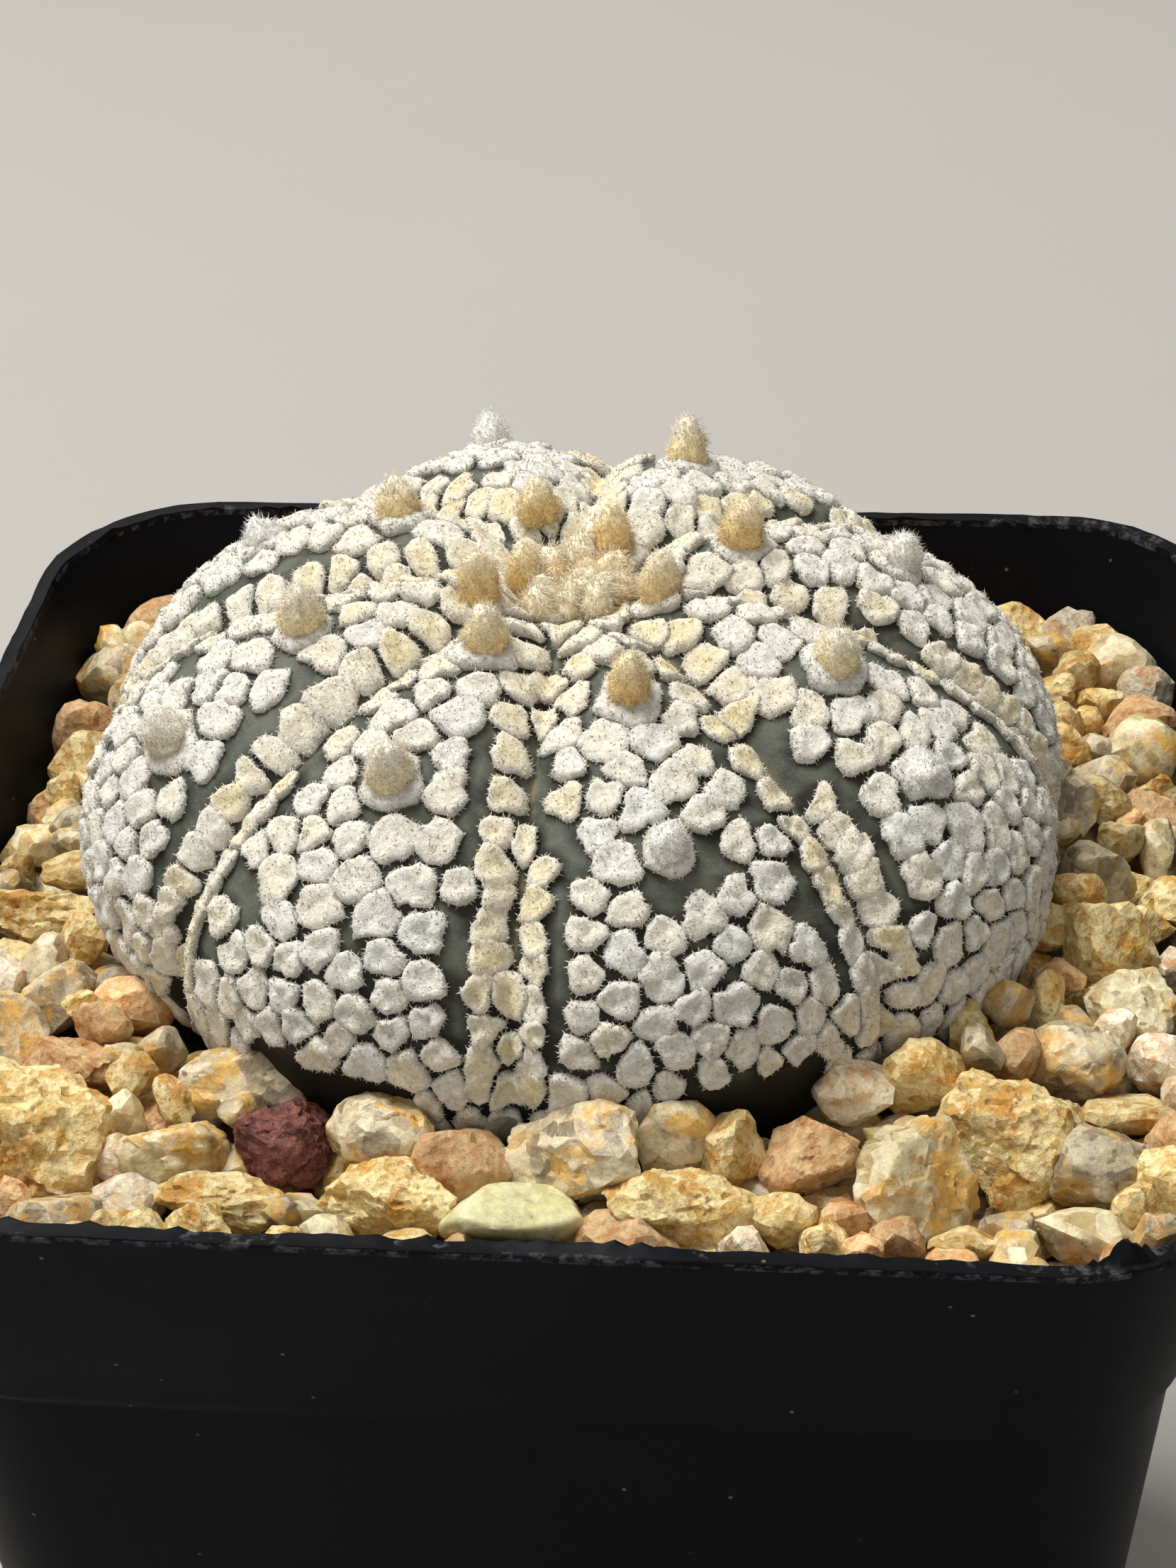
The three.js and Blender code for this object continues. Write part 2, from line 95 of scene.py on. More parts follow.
def polar(r: Any, phi: Any, z: Any) -> Array:
    """Gives the points at these distances from the axis, azimuths and heights."""
    return np.stack(np.broadcast_arrays(r * np.cos(phi), r * np.sin(phi), z), -1)


def unit(vector: Array) -> Array:
    """Gives a vector's direction, one long."""
    return vector / np.linalg.norm(vector)


def feed(node: Node, inputs: dict[Any, Any] | Sequence[Any]) -> None:
    """Sets or links a node's input sockets.

    Args:
        node: The node.
        inputs: Values or the sockets that feed them, by socket name or number, or in socket order.
    """
    for key, value in inputs.items() if isinstance(inputs, dict) else enumerate(inputs):
        if isinstance(value, NodeSocket):
            node.id_data.links.new(value, node.inputs[key])
        else:
            node.inputs[key].default_value = value


def add_node(
    tree: NodeTree,
    kind: str,
    inputs: dict[Any, Any] | Sequence[Any] = (),
    out: str | int | None = 0,
    **settings: Any,
) -> Any:
    """Adds a node with its settings, socket values and links.

    Args:
        tree: The node tree to add to.
        kind: The node's type name.
        inputs: What its input sockets hold, as in feed.
        out: Name or number of the output to give back, or None for the node itself.
        **settings: Properties of the node, set before its sockets.

    Returns:
        The output socket or the node.
    """
    node = tree.nodes.new(kind)
    for key, value in settings.items():
        setattr(node, key, value)
    feed(node, inputs)
    return node if out is None else node.outputs[out]


def start_material(name: str) -> tuple[Material, Callable[..., Any], NodeSocket]:
    """Starts a node material.

    Args:
        name: What the material is.

    Returns:
        The material, the function that adds its nodes, and its Object coordinates.
    """
    made = bpy.data.materials.new(name)
    made.use_nodes = True
    add = partial(add_node, made.node_tree)
    return made, add, add("ShaderNodeTexCoord", out="Object")


def end_material(made: Material, inputs: dict[str, Any]) -> Material:
    """Sets and links the sockets of a material's shader, and gives the material back."""
    feed(made.node_tree.nodes["Principled BSDF"], inputs)
    return made


def start_tree(
    name: str, sockets: dict[str, str], result: str
) -> tuple[NodeTree, Callable[..., Any], Any]:
    """Starts a Geometry Nodes tree with named inputs.

    Args:
        name: The tree's name.
        sockets: Input names and the kinds of their sockets.
        result: The name of the geometry that it gives.

    Returns:
        The tree, the function that adds its nodes, and the sockets that hold its inputs.
    """
    tree = bpy.data.node_groups.new(name, "GeometryNodeTree")
    for socket, kind in sockets.items():
        tree.interface.new_socket(name=socket, in_out="INPUT", socket_type="NodeSocket" + kind)
    tree.interface.new_socket(name=result, in_out="OUTPUT", socket_type="NodeSocketGeometry")
    add = partial(add_node, tree)
    return tree, add, add("NodeGroupInput", out=None).outputs


def end_tree(add: Callable[..., Any], placed: NodeSocket, material: NodeSocket) -> None:
    """Ends a tree: its instances become real and take their material."""
    real = add("GeometryNodeRealizeInstances", {"Geometry": placed})
    dressed = add("GeometryNodeSetMaterial", {"Geometry": real, "Material": material})
    add("NodeGroupOutput", [dressed], None)


def run_tree(source: Object, tree: NodeTree, values: dict[str, Any]) -> None:
    """Gives an object a Geometry Nodes modifier with its named inputs set.

    Args:
        source: The object that carries the modifier.
        tree: The node tree.
        values: Input name and value.
    """
    modifier = source.modifiers.new(tree.name, "NODES")
    modifier.node_group = tree
    for item in tree.interface.items_tree:
        if item.in_out == "INPUT" and item.name in values:
            modifier[item.identifier] = values[item.name]


def loft_faces(rows: int, around: int, flip: bool = False) -> list[Face]:
    """Gives the faces of a closed loft through rings of points, closed by a point at each end.

    Args:
        rows: How many rings there are, one after the other, before the two end points.
        around: How many points a ring has.
        flip: Whether the rings run the other way round their axis.

    Returns:
        Triangles at the ends and four-sided faces between them.
    """
    first, last = rows * around, (rows - 1) * around
    faces: list[Face] = []
    for i in range(around):
        j = (i + 1) % around
        faces += [(first, i, j), (first + 1, last + j, last + i)]
        faces += [(a + i, a + around + i, a + around + j, a + j) for a in range(0, last, around)]
    return [(face[0], *face[:0:-1]) for face in faces] if flip else faces


def copies(faces: Iterable[Face], count: int, step: int) -> list[Face]:
    """Repeats faces for copies of their points that follow each other in steps."""
    own = list(faces)
    return [tuple(start + k for k in face) for start in range(0, count * step, step) for face in own]


def add_object(name: str, data: Any) -> Object:
    """Adds an object that holds a mesh, a camera or a light to the scene."""
    made = bpy.data.objects.new(name, data)
    bpy.context.scene.collection.objects.link(made)
    return made


def take_mesh(made: BMesh, name: str) -> Mesh:
    """Turns geometry in the making into a mesh."""
    mesh = bpy.data.meshes.new(name)
    made.to_mesh(mesh)
    made.free()
    return mesh


def mesh_object(
    name: str, points: Array, faces: Sequence[Face], attributes: dict[str, Array] | None = None
) -> Object:
    """Makes a smooth-shaded object from points in millimetres.

    Args:
        name: The object's name.
        points: One row of x, y, z for each point, in the row frame.
        faces: Point numbers of each face, anticlockwise from outside.
        attributes: Named numbers or vectors, one for each point.

    Returns:
        The object, linked to the scene, with its place in its mesh.
    """
    mesh = bpy.data.meshes.new(name)
    mesh.from_pydata((points * MM).tolist(), [], faces)
    mesh.update()
    mesh.shade_smooth()
    for key, values in (attributes or {}).items():
        whole = values.dtype.kind == "i"
        kind, part = ("FLOAT_VECTOR", "vector") if values.shape == points.shape else ("FLOAT", "value")
        layer = mesh.attributes.new(key, "INT" if whole else kind, "POINT")
        layer.data.foreach_set(part, values.astype(np.int32 if whole else np.float32).ravel())
    return add_object(name, mesh)


def remove_object(gone: Object) -> None:
    """Removes a helper object and its mesh."""
    mesh = gone.data
    bpy.data.objects.remove(gone)
    bpy.data.meshes.remove(mesh)


def baked(source: Object, name: str) -> Object:
    """Turns an object with live modifiers into a plain mesh and removes the source.

    Args:
        source: The object whose modifiers are to be kept as geometry.
        name: The name of the plain object.

    Returns:
        The plain object at the origin.
    """
    depsgraph = bpy.context.evaluated_depsgraph_get()
    evaluated = source.evaluated_get(depsgraph)
    mesh = bpy.data.meshes.new_from_object(evaluated, preserve_all_data_layers=True, depsgraph=depsgraph)
    source.modifiers.clear()
    remove_object(source)
    mesh.name = name
    return add_object(name, mesh)


def finish_piece(
    piece: Object, material: Material | None, replaces: Iterable[str] = ()
) -> Object:
    """Gives a piece its material and its body, hides the CAD parts that it replaces, and reports it.

    Args:
        piece: The finished object.
        material: Its material, or None where the mesh already holds it.
        replaces: The CAD nodes that it stands for.

    Returns:
        The piece.
    """
    if material is not None:
        piece.data.materials.clear()
        piece.data.materials.append(material)
    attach(piece, BODY)
    for node in replaces:
        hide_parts(node)
    piece.data.calc_loop_triangles()
    LOG.info("%s: %d triangles", piece.name, len(piece.data.loop_triangles))
    return piece


class CellKind(Enum):
    """What a cell of the cactus's skin carries."""

    FLECK = "fleck"
    PAD = "pad"
    BARE = "bare"
    AREOLE = "areole"


class StoneKind(Enum):
    """The kinds of grain in the gravel."""

    PUMICE = "pumice"
    QUARTZ = "quartz"
    CLAY = "clay"
    CHALK = "chalk"
    CREAM = "cream"
    LAVA = "lava"
    GREEN = "green"


FLECK, PAD, BARE, AREOLE = CellKind
PUMICE, QUARTZ, CLAY, CHALK, CREAM, LAVA, GREEN = StoneKind


@dataclass(frozen=True)
class PhotoCamera:
    """The photograph's viewpoint, fitted to the pot's rim."""

    place: tuple[float, float, float] = (22.72, -163.52, 178.42)
    azimuth: float = 7.594
    elevation: float = 32.688
    roll: float = -2.691
    focal_pixels: float = 4923.0
    sensor: float = 36.0

    def axes(self) -> tuple[Array, Array, Array]:
        """Gives the camera's right, up and backward directions."""
        a, e, turn = (math.radians(angle) for angle in (self.azimuth, self.elevation, self.roll))
        back = np.array([math.sin(a) * math.cos(e), -math.cos(a) * math.cos(e), math.sin(e)])
        level = np.array([math.cos(a), math.sin(a), 0.0])
        right = level * math.cos(turn) + np.cross(back, level) * math.sin(turn)
        return right, np.cross(back, right), back

    def ray(self, across: float, down: float) -> Array:
        """Gives the direction, one deep, in which the camera sees a pixel of the photograph."""
        right, up, back = self.axes()
        x = (across - PHOTO_WIDE / 2) / self.focal_pixels
        y = (down - PHOTO_TALL / 2) / self.focal_pixels
        return right * x - up * y - back

    def make(self) -> Object:
        """Makes the camera object and gives it to the scene."""
        data = bpy.data.cameras.new("camera")
        data.sensor_width = self.sensor
        data.lens = self.focal_pixels / PHOTO_TALL * self.sensor
        data.clip_start = 0.01
        camera = add_object("camera", data)
        turned = Matrix(self.axes()).transposed().to_4x4()
        camera.matrix_world = Matrix.Translation(Vector(self.place) * MM) @ turned
        bpy.context.scene.camera = camera
        return camera


@dataclass(frozen=True)
class WoolFinish:
    """Felted plant wool: matted fine hair, which scatters light and shows no gloss."""

    name: str
    stops: tuple[tuple[float, str], ...]
    shade: str
    clump_mm: float = 0.5
    hair_mm: float = 0.3
    depth_mm: float = 0.12
    shading: float = 0.25
    sheen: float = 0.4
    glow: float = 0.1
    glow_mm: float = 0.5

    def material(self) -> Material:
        """Makes the felt: the "warm" attribute runs through the stops, and clumps shade it."""
        made, add, place = start_material(self.name)
        warmth = add(ATTRIBUTE, out="Fac", attribute_name="warm")
        clumps = add(NOISE, {"Vector": place, "Scale": per_metre(self.clump_mm), "Detail": 3.0})
        strands = {"Scale": per_metre(self.hair_mm), "Detail": 4.0, "Roughness": 0.7, "Distortion": 1.6}
        hairs = add(NOISE, {"Vector": place, **strands})
        spread = add(MATH, [clumps, 0.35, warmth], operation="MULTIPLY_ADD")
        centred = add(MATH, [spread, 0.35 / 2], operation="SUBTRACT")
        ramp = add("ShaderNodeValToRGB", [centred], None)
        colours = ramp.color_ramp.elements
        colours[0].color, colours[1].color = linear(self.stops[0][1]), linear(self.stops[-1][1])
        for position, colour in self.stops[1:-1]:
            colours.new(position).color = linear(colour)
        hollow = add(RANGE, [clumps, 0.6, 0.32, 0.0, self.shading])
        shaded = {0: hollow, 6: ramp.outputs[0], 7: linear(self.shade)}
        colour = add(MIX, shaded, 2, data_type="RGBA", blend_type="MULTIPLY")
        streaks = add(RANGE, [hairs, 0.32, 0.62, 0.85, 1.07])
        felted = add(VECTOR_MATH, {0: colour, "Scale": streaks}, operation="SCALE")
        depth = self.depth_mm * MM
        coarse = add(BUMP, {"Strength": 0.8, "Distance": depth, "Height": clumps})
        fine = add(BUMP, {"Strength": 1.0, "Distance": 0.6 * depth, "Height": hairs, "Normal": coarse})
        look = {"Base Color": felted, "Normal": fine, "Roughness": 0.95, "Specular IOR Level": 0.15}
        look |= {"Sheen Weight": self.sheen, "Sheen Roughness": 0.6, "Subsurface Weight": self.glow}
        look |= {"Subsurface Radius": (1.0, 0.9, 0.7), "Subsurface Scale": self.glow_mm * MM}
        return end_material(made, look)


# Matted areole wool on old flecks is chalk white and turns cream where it is young or sheltered.
FLECK_WOOL = WoolFinish(
    "Felted wool, white to cream",
    ((0.0, "#EEEBE2"), (0.45, "#F3ECDA"), (0.8, "#F5EACB"), (1.0, "#F0E1B8")),
    "#D8D2C2", hair_mm=0.26, depth_mm=0.2, shading=0.5, sheen=0.15, glow=0.0,
)
# The areoles' felt is short and dense: white on the oldest, fawn on others, golden by the apex.
AREOLE_FELT = WoolFinish(
    "Areole felt, fawn to gold",
    ((0.0, "#FFFEFA"), (0.3, "#FFF7E2"), (0.5, "#FFEEC2"), (0.72, "#FADD9C"), (1.0, "#ECC26E")),
    "#F6E8CA",
)
# The wool in the apex is the youngest: long, curled and cream with golden depths.
APEX_WOOL = WoolFinish(
    "Apex wool, cream and gold",
    ((0.0, "#FFF9E6"), (0.45, "#FFEFCB"), (0.75, "#FBDFA4"), (1.0, "#F2CA84")),
    "#F8E8C4",
)


@dataclass(frozen=True)
class SkinFinish:
    """The cactus's own skin: waxy grey-green flesh with fine pale pores, dull rather than glossy."""

    name: str = "Cactus epidermis, waxy grey-green"
    green: str = "#5E6154"
    light: str = "#727261"
    deep: str = "#43473D"
    scar: str = "#8A8160"
    # The foot is the corky brown base, and its near-black colour is also painted shadow under the
    # overhanging body.
    foot: str = "#1B1712"
    # Painted shade: gap is the near-black colour laid on the skin next to the felt, where the flecks shade
    # it.
    gap: str = "#26241E"
    pore_mm: float = 0.22
    patch_mm: float = 1.6

    def material(self) -> Material:
        """Makes the skin: patches of tone, small pale pores, a dried tan crease line, a corky foot that is
        also painted near black as shadow, and painted shade next to the felt.
        """
        made, add, place = start_material(self.name)
        patches = add(NOISE, {"Vector": place, "Scale": per_metre(self.patch_mm), "Detail": 5.0})
        spread = add(RANGE, [patches, 0.35, 0.62])
        crystals = add(CRYSTALS, {"Vector": place, "Scale": per_metre(self.pore_mm)})
        pores = add(RANGE, [crystals, 0.12, 0.5, 0.35, 0.0])
        crease, unshaded_skin, low = (
            add(ATTRIBUTE, out="Fac", attribute_name=name) for name in ("crease", "open", "foot")
        )
        scarred = add(MATH, [crease, spread], operation="MULTIPLY")
        colour = add(MIX, {0: spread, 6: linear(self.deep), 7: linear(self.green)}, 2, data_type="RGBA")
        for share, tone in ((pores, self.light), (scarred, self.scar)):
            colour = add(MIX, {0: share, 6: colour, 7: linear(tone)}, 2, data_type="RGBA")
        # Painted shade: next to the felt the skin is mixed into the dark gap colour.
        colour = add(MIX, {0: unshaded_skin, 6: linear(self.gap), 7: colour}, 2, data_type="RGBA")
        # The low skin turns corky and near black: real corky base and painted shadow under the body.
        colour = add(MIX, {0: low, 6: colour, 7: linear(self.foot)}, 2, data_type="RGBA")
        bump = add(BUMP, {"Strength": 0.5, "Distance": 0.05 * MM, "Height": pores})
        look = {"Base Color": colour, "Normal": bump, "Roughness": 0.65, "Specular IOR Level": 0.25}
        return end_material(made, look)


@dataclass(frozen=True)
class StoneFinish:
    """One kind of grain: a mosaic of crystals in two colours, stains, dark pits and a grit."""

    name: str
    base: str
    crystal: str
    stain: str
    pit: str
    crystal_mm: float
    patch_mm: float
    depth_mm: float
    roughness: float
    stain_share: float
    pit_share: float
    glow: float

    def material(self) -> Material:
        """Makes the stone: the "tone" attribute lightens or darkens each grain as a whole."""
        made, add, place = start_material(self.name)
        tone = add(ATTRIBUTE, out="Fac", attribute_name="tone")
        cells = add(CRYSTALS, {"Vector": place, "Scale": per_metre(self.crystal_mm)}, None).outputs
        chance = add("ShaderNodeSeparateColor", [cells["Color"]])
        patches, grit, crust = (
            add(NOISE, {"Vector": place, "Scale": per_metre(size), "Detail": detail, "Roughness": rough})
            for size, detail, rough in (
                (self.patch_mm, 6.0, 0.65),
                (0.6 * self.crystal_mm, 5.0, 0.75),
                (1.4 * self.patch_mm, 8.0, 0.7),
            )
        )
        share = add(RANGE, [add(MATH, [chance, 0.35, patches], operation="MULTIPLY_ADD"), 0.48, 0.8])
        edge = 0.66 - 0.3 * self.stain_share
        low = 0.26 + 0.12 * self.pit_share
        stained = add(RANGE, [crust, edge - 0.04, edge + 0.05, 0.0, 0.9])
        pits = add(RANGE, [grit, low + 0.1, low, 0.0, 0.6])
        colour = linear(self.base)
        for amount, hue in ((share, self.crystal), (stained, self.stain), (pits, self.pit)):
            colour = add(MIX, {0: amount, 6: colour, 7: linear(hue)}, 2, data_type="RGBA")
        whole = add(RANGE, [tone, 0.0, 1.0, 0.68, 1.08])
        facet = add(RANGE, [grit, 0.3, 0.7, 0.72, 1.24])
        level = add(MATH, [whole, facet], operation="MULTIPLY")
        colour = add(VECTOR_MATH, {0: colour, "Scale": level}, operation="SCALE")
        depth = self.depth_mm * MM
        bump = add(BUMP, {"Strength": 0.9, "Distance": 3.0 * depth, "Height": patches})
        bump = add(BUMP, {"Strength": 0.9, "Distance": depth, "Height": cells["Distance"], "Normal": bump})
        bump = add(BUMP, {"Strength": 0.8, "Distance": 0.8 * depth, "Height": grit, "Normal": bump})
        rough = add(RANGE, [chance, 0.0, 1.0, self.roughness - 0.22, self.roughness + 0.12])
        look = {"Base Color": colour, "Normal": bump, "Roughness": rough, "Subsurface Weight": self.glow}
        look |= {"Subsurface Radius": (1.0, 0.8, 0.5), "Subsurface Scale": 1.2 * MM}
        return end_material(made, look)


STONE_FINISHES: dict[StoneKind, StoneFinish] = {
    # Kanuma-like pumice: crumbly and sugary, yellow-cream granules with ochre between them.
    PUMICE: StoneFinish(
        "Pumice grain, crumbly yellow-cream",
        "#CDA556", "#F4DFA4", "#C88C32", "#4E3618", 0.6, 1.8, 0.16, 0.82, 0.35, 0.5, 0.08,
    ),
    # Quartz gravel: grey and half clear, with glossy broken faces and a cream crust in places.
    QUARTZ: StoneFinish(
        "Quartz grain, broken grey",
        "#8F7F64", "#DCCCA8", "#DCAE5A", "#4C3D2C", 0.9, 2.4, 0.11, 0.42, 0.42, 0.3, 0.3,
    ),
    # Fired clay: dense orange-tan with a dry, streaked grain.
    CLAY: StoneFinish(
        "Fired clay grain, orange-tan",
        "#D39C60", "#ECC792", "#B87639", "#6E4726", 0.55, 1.7, 0.11, 0.85, 0.28, 0.35, 0.08,
    ),
    # Weathered feldspar: chalky white with a pink cast.
    CHALK: StoneFinish(
        "Feldspar grain, pinkish white",
        "#D9BC90", "#F6E8CC", "#D49A5E", "#7A6040", 0.65, 1.6, 0.13, 0.75, 0.3, 0.4, 0.12,
    ),
    # Milky quartz stained cream: smooth broken faces, half see-through at the edges.
    CREAM: StoneFinish(
        "Milky quartz grain, cream",
        "#BFA873", "#EEE0B8", "#E0AC4E", "#6E5A38", 1.0, 2.6, 0.1, 0.42, 0.38, 0.25, 0.28,
    ),
    # Lava: dark maroon scoria, full of small bubbles.
    LAVA: StoneFinish(
        "Lava grain, maroon",
        "#5A2A23", "#8E5547", "#74392E", "#1E0D0B", 0.5, 1.2, 0.14, 0.7, 0.3, 0.7, 0.0,
    ),
    # Zeolite: pale green-cream, dense and smooth.
    GREEN: StoneFinish(
        "Zeolite grain, pale green",
        "#C6BE88", "#DAD4A6", "#B7A665", "#857D4C", 1.2, 2.6, 0.05, 0.6, 0.2, 0.15, 0.25,
    ),
}

# Packed dust and chips between the grains: brown, and painted darker as the shade under and between the
# grains.
SHADED_FINES_FINISH = StoneFinish(
    "Gravel fines, brown",
    "#4A3A24", "#7C6640", "#5A4526", "#1E170E", 0.7, 1.5, 0.15, 0.9, 0.3, 0.8, 0.0,
)


@dataclass(frozen=True)
class PotFinish:
    """Injection-moulded black polypropylene: satin black with a fine moulding grain and dust."""

    name: str = "Polypropylene, moulded black"
    black: str = "#0D0E11"
    scuff: str = "#4C4E50"
    dust: str = "#77756E"
    cloud_mm: float = 9.0
    grain_mm: float = 0.35
    dust_mm: float = 1.1
    scuff_mm: float = 0.8
    scuffed_at_mm: float = 69.72

    def material(self) -> Material:
        """Makes the plastic: a scuffed grey rim, sparse dust specks and a satin grain."""
        made, add, place = start_material(self.name)
        height = add("ShaderNodeSeparateXYZ", [place], "Z")
        clouds, grain, chafed = (
            add(NOISE, {"Vector": place, "Scale": per_metre(size), "Detail": detail, "Roughness": rough})
            for size, detail, rough in (
                (self.cloud_mm, 6.0, 0.5),
                (self.grain_mm, 3.0, 0.5),
                (self.scuff_mm, 5.0, 0.7),
            )
        )
        off_edge = add(MATH, [height, self.scuffed_at_mm * MM, 0.2 * MM], operation="COMPARE")
        worn = add(MATH, [off_edge, add(RANGE, [chafed, 0.48, 0.62, 0.0, 0.75])], operation="MULTIPLY")
        specks = add(CRYSTALS, {"Vector": place, "Scale": per_metre(self.dust_mm)}, None).outputs
        keep = add("ShaderNodeSeparateColor", [specks["Color"]])
        chosen = add(MATH, [keep, 0.93], operation="GREATER_THAN")
        near = add(RANGE, [specks["Distance"], 0.13, 0.05, 0.0, 0.7])
        dusty = add(MATH, [near, chosen], operation="MULTIPLY")
        colour = linear(self.black)
        for amount, hue in ((worn, self.scuff), (dusty, self.dust)):
            colour = add(MIX, {0: amount, 6: colour, 7: linear(hue)}, 2, data_type="RGBA")
        rough = add(RANGE, [clouds, 0.0, 1.0, 0.36, 0.58])
        bump = add(BUMP, {"Strength": 0.25, "Distance": 0.03 * MM, "Height": grain})
        look = {"Base Color": colour, "Normal": bump, "Roughness": rough}
        return end_material(made, {**look, "IOR": 1.49, "Specular IOR Level": 0.06})


@dataclass(frozen=True)
class BodyForm:
    """The cactus body's form: a flattened dome with ribs, creases and a sunken apex."""

    equator_radius: float = 27.4
    apex_height: float = 15.3
    base_depth: float = 16.4
    equator_level: float = 72.1
    centre: tuple[float, float] = (0.15, 0.4)
    tilt_x: float = math.radians(2.8)
    tilt_y: float = math.radians(1.6)
    apex_dent: float = 3.4
    apex_dent_radius: float = 5.0
    ribs: int = 8
    first_rib: float = math.radians(-68.7)
    rib_step: float = math.tau / 8
    rib_swell: float = 0.8
    crease_depth: float = 1.15
    crease_half_width: float = 0.95
    crease_start: float = 5.0
    root_neck: float = 6.5
    root_tip: float = 1.6
    root_depth: float = 20.0

    def depth(self, theta: Array) -> Array:
        """Gives the dome's height over its equator, or its depth under it, at angles from the apex."""
        return np.where(theta < math.pi / 2, self.apex_height, self.base_depth)

    def dent(self, r: Array) -> Array:
        """Gives how far the apex is sunk at distances from the axis."""
        return self.apex_dent * np.exp(-((r / self.apex_dent_radius) ** 2))

    def outline(self, theta: Array) -> tuple[Array, Array]:
        """Gives the radius and height of the smooth dome at angles from the apex."""
        r = self.equator_radius * np.sin(theta)
        return r, np.cos(theta) * self.depth(theta) - np.where(theta < math.pi / 2, self.dent(r), 0.0)

    def normal(self, theta: Array, phi: Array) -> Array:
        """Gives the direction that flecks rise in."""
        made = polar(np.sin(theta) / self.equator_radius, phi, np.cos(theta) / self.depth(theta))
        return made / np.linalg.norm(made, axis=-1, keepdims=True)

    def off_rib(self, phi: Array) -> Array:
        """Gives the angle from the middle of the nearest rib."""
        turns = (phi - self.first_rib) / self.rib_step
        return (turns - np.round(turns)) * self.rib_step

    def from_crease(self, r: Array, phi: Array) -> Array:
        """Gives the distance along the skin to the nearest crease."""
        return r * (self.rib_step / 2 - np.abs(self.off_rib(phi)))

    def sink(self, r: Array, phi: Array) -> Array:
        """Gives how far the skin lies under the smooth dome."""
        fade = smoothstep(0.4 * self.crease_start, 2.0 * self.crease_start, r)
        near = self.from_crease(r, phi) / self.crease_half_width
        swell = 0.5 * self.rib_swell * (1 - np.cos(self.ribs * self.off_rib(phi)))
        return fade * (self.crease_depth * np.exp(-np.abs(near) ** 1.3) + swell)

    def skin(self, theta: Array, phi: Array, lift: Array | float = 0.0) -> Array:
        """Gives points of the ribbed skin, or above it, in the body's own frame.

        Args:
            theta: Angles from the apex.
            phi: Azimuths.
            lift: Heights over the skin.

        Returns:
            An array with x, y, z in its last axis.
        """
        r, z = self.outline(theta)
        rise = np.asarray(lift - self.sink(r, phi))[..., None]
        return polar(r, phi, z) + self.normal(theta, phi) * rise

    def locate(self, points: Array) -> tuple[Array, Array]:
        """Gives the angle from the apex and the azimuth of the skin nearest to points.

        Args:
            points: Points in the body's own frame.

        Returns:
            The angles and the azimuths.
        """
        r, z = np.hypot(points[..., 0], points[..., 1]), points[..., 2]
        rise = np.where(z > 0, (z + self.dent(r)) / self.apex_height, z / self.base_depth)
        theta = np.arctan2(r / self.equator_radius, rise)
        phi = np.arctan2(points[..., 1], points[..., 0])
        for _ in range(3):
            along = polar(self.equator_radius * np.cos(theta), phi, -self.depth(theta) * np.sin(theta))
            miss = ((points - self.skin(theta, phi)) * along).sum(-1) / (along**2).sum(-1)
            theta = np.clip(theta + 0.8 * miss, 0.0, math.pi)
        return theta, phi

    def place(self, points: Array) -> Array:
        """Moves points from the body's own frame into the row frame."""
        turn = Matrix.Rotation(self.tilt_x, 3, "X") @ Matrix.Rotation(self.tilt_y, 3, "Y")
        return points @ np.array(turn).T + np.array([*self.centre, self.equator_level])

    def theta_at(self, along: float) -> float:
        """Gives the angle from the apex at a distance along the skin from it."""
        theta = np.linspace(0.0, math.pi, 1200)
        r, z = self.outline(theta)
        lengths = np.concatenate([[0.0], np.cumsum(np.hypot(np.diff(r), np.diff(z)))])
        return float(np.interp(along, lengths, theta))


@dataclass(frozen=True)
class Areole:
    """One areole: its rib, its place along and across it, its felt's colour and its height."""

    rib: int
    along: float
    side: float
    gold: float
    rise: float

    def low(self) -> float:
        """Gives how low and flat an old, white areole is, from 0 to 1."""
        return max(0.0, 1.0 - self.gold / 0.3)


AREOLES: tuple[Areole, ...] = (
    Areole(0, 12.5, -0.1, 0.9, 2.9),
    Areole(0, 21.7, -0.5, 0.12, 2.1),
    Areole(1, 9.3, 0.1, 0.7, 2.9),
    Areole(1, 18.9, -0.2, 0.5, 2.8),
    Areole(2, 2.5, -0.7, 1.0, 3.1),
    Areole(2, 5.6, 0.5, 0.85, 3.1),
    Areole(2, 15.2, -0.5, 0.6, 2.8),
    Areole(2, 24.4, 1.7, 0.35, 2.4),
    Areole(3, 11.8, -0.7, 0.7, 3.1),
    Areole(3, 20.6, 0.9, 0.0, 2.6),
    Areole(4, 6.5, 0.2, 0.85, 3.3),
    Areole(4, 20.9, -0.4, 0.1, 3.2),
    Areole(5, 4.0, -0.4, 0.95, 3.3),
    Areole(5, 14.9, 0.5, 0.65, 3.0),
    Areole(6, 10.0, 0.0, 0.85, 3.0),
    Areole(6, 19.6, -0.2, 0.2, 2.4),
    Areole(7, 5.7, 0.3, 0.75, 3.1),
    Areole(7, 16.3, 0.5, 0.6, 2.6),
    Areole(7, 23.4, -1.7, 0.1, 1.9),
)


@dataclass(frozen=True)
class Spot:
    """One cell before it is laid out: its kind, place, size and the column that it belongs to."""

    kind: CellKind
    theta: float
    phi: float
    reach: float
    run: int = -1


@dataclass(frozen=True)
class Column:
    """One column of cells beside a crease: its place, its cells and how often two of them are joined."""

    kind: CellKind
    side: float
    start: float
    stop: float
    step: float
    reach: float
    joins: float


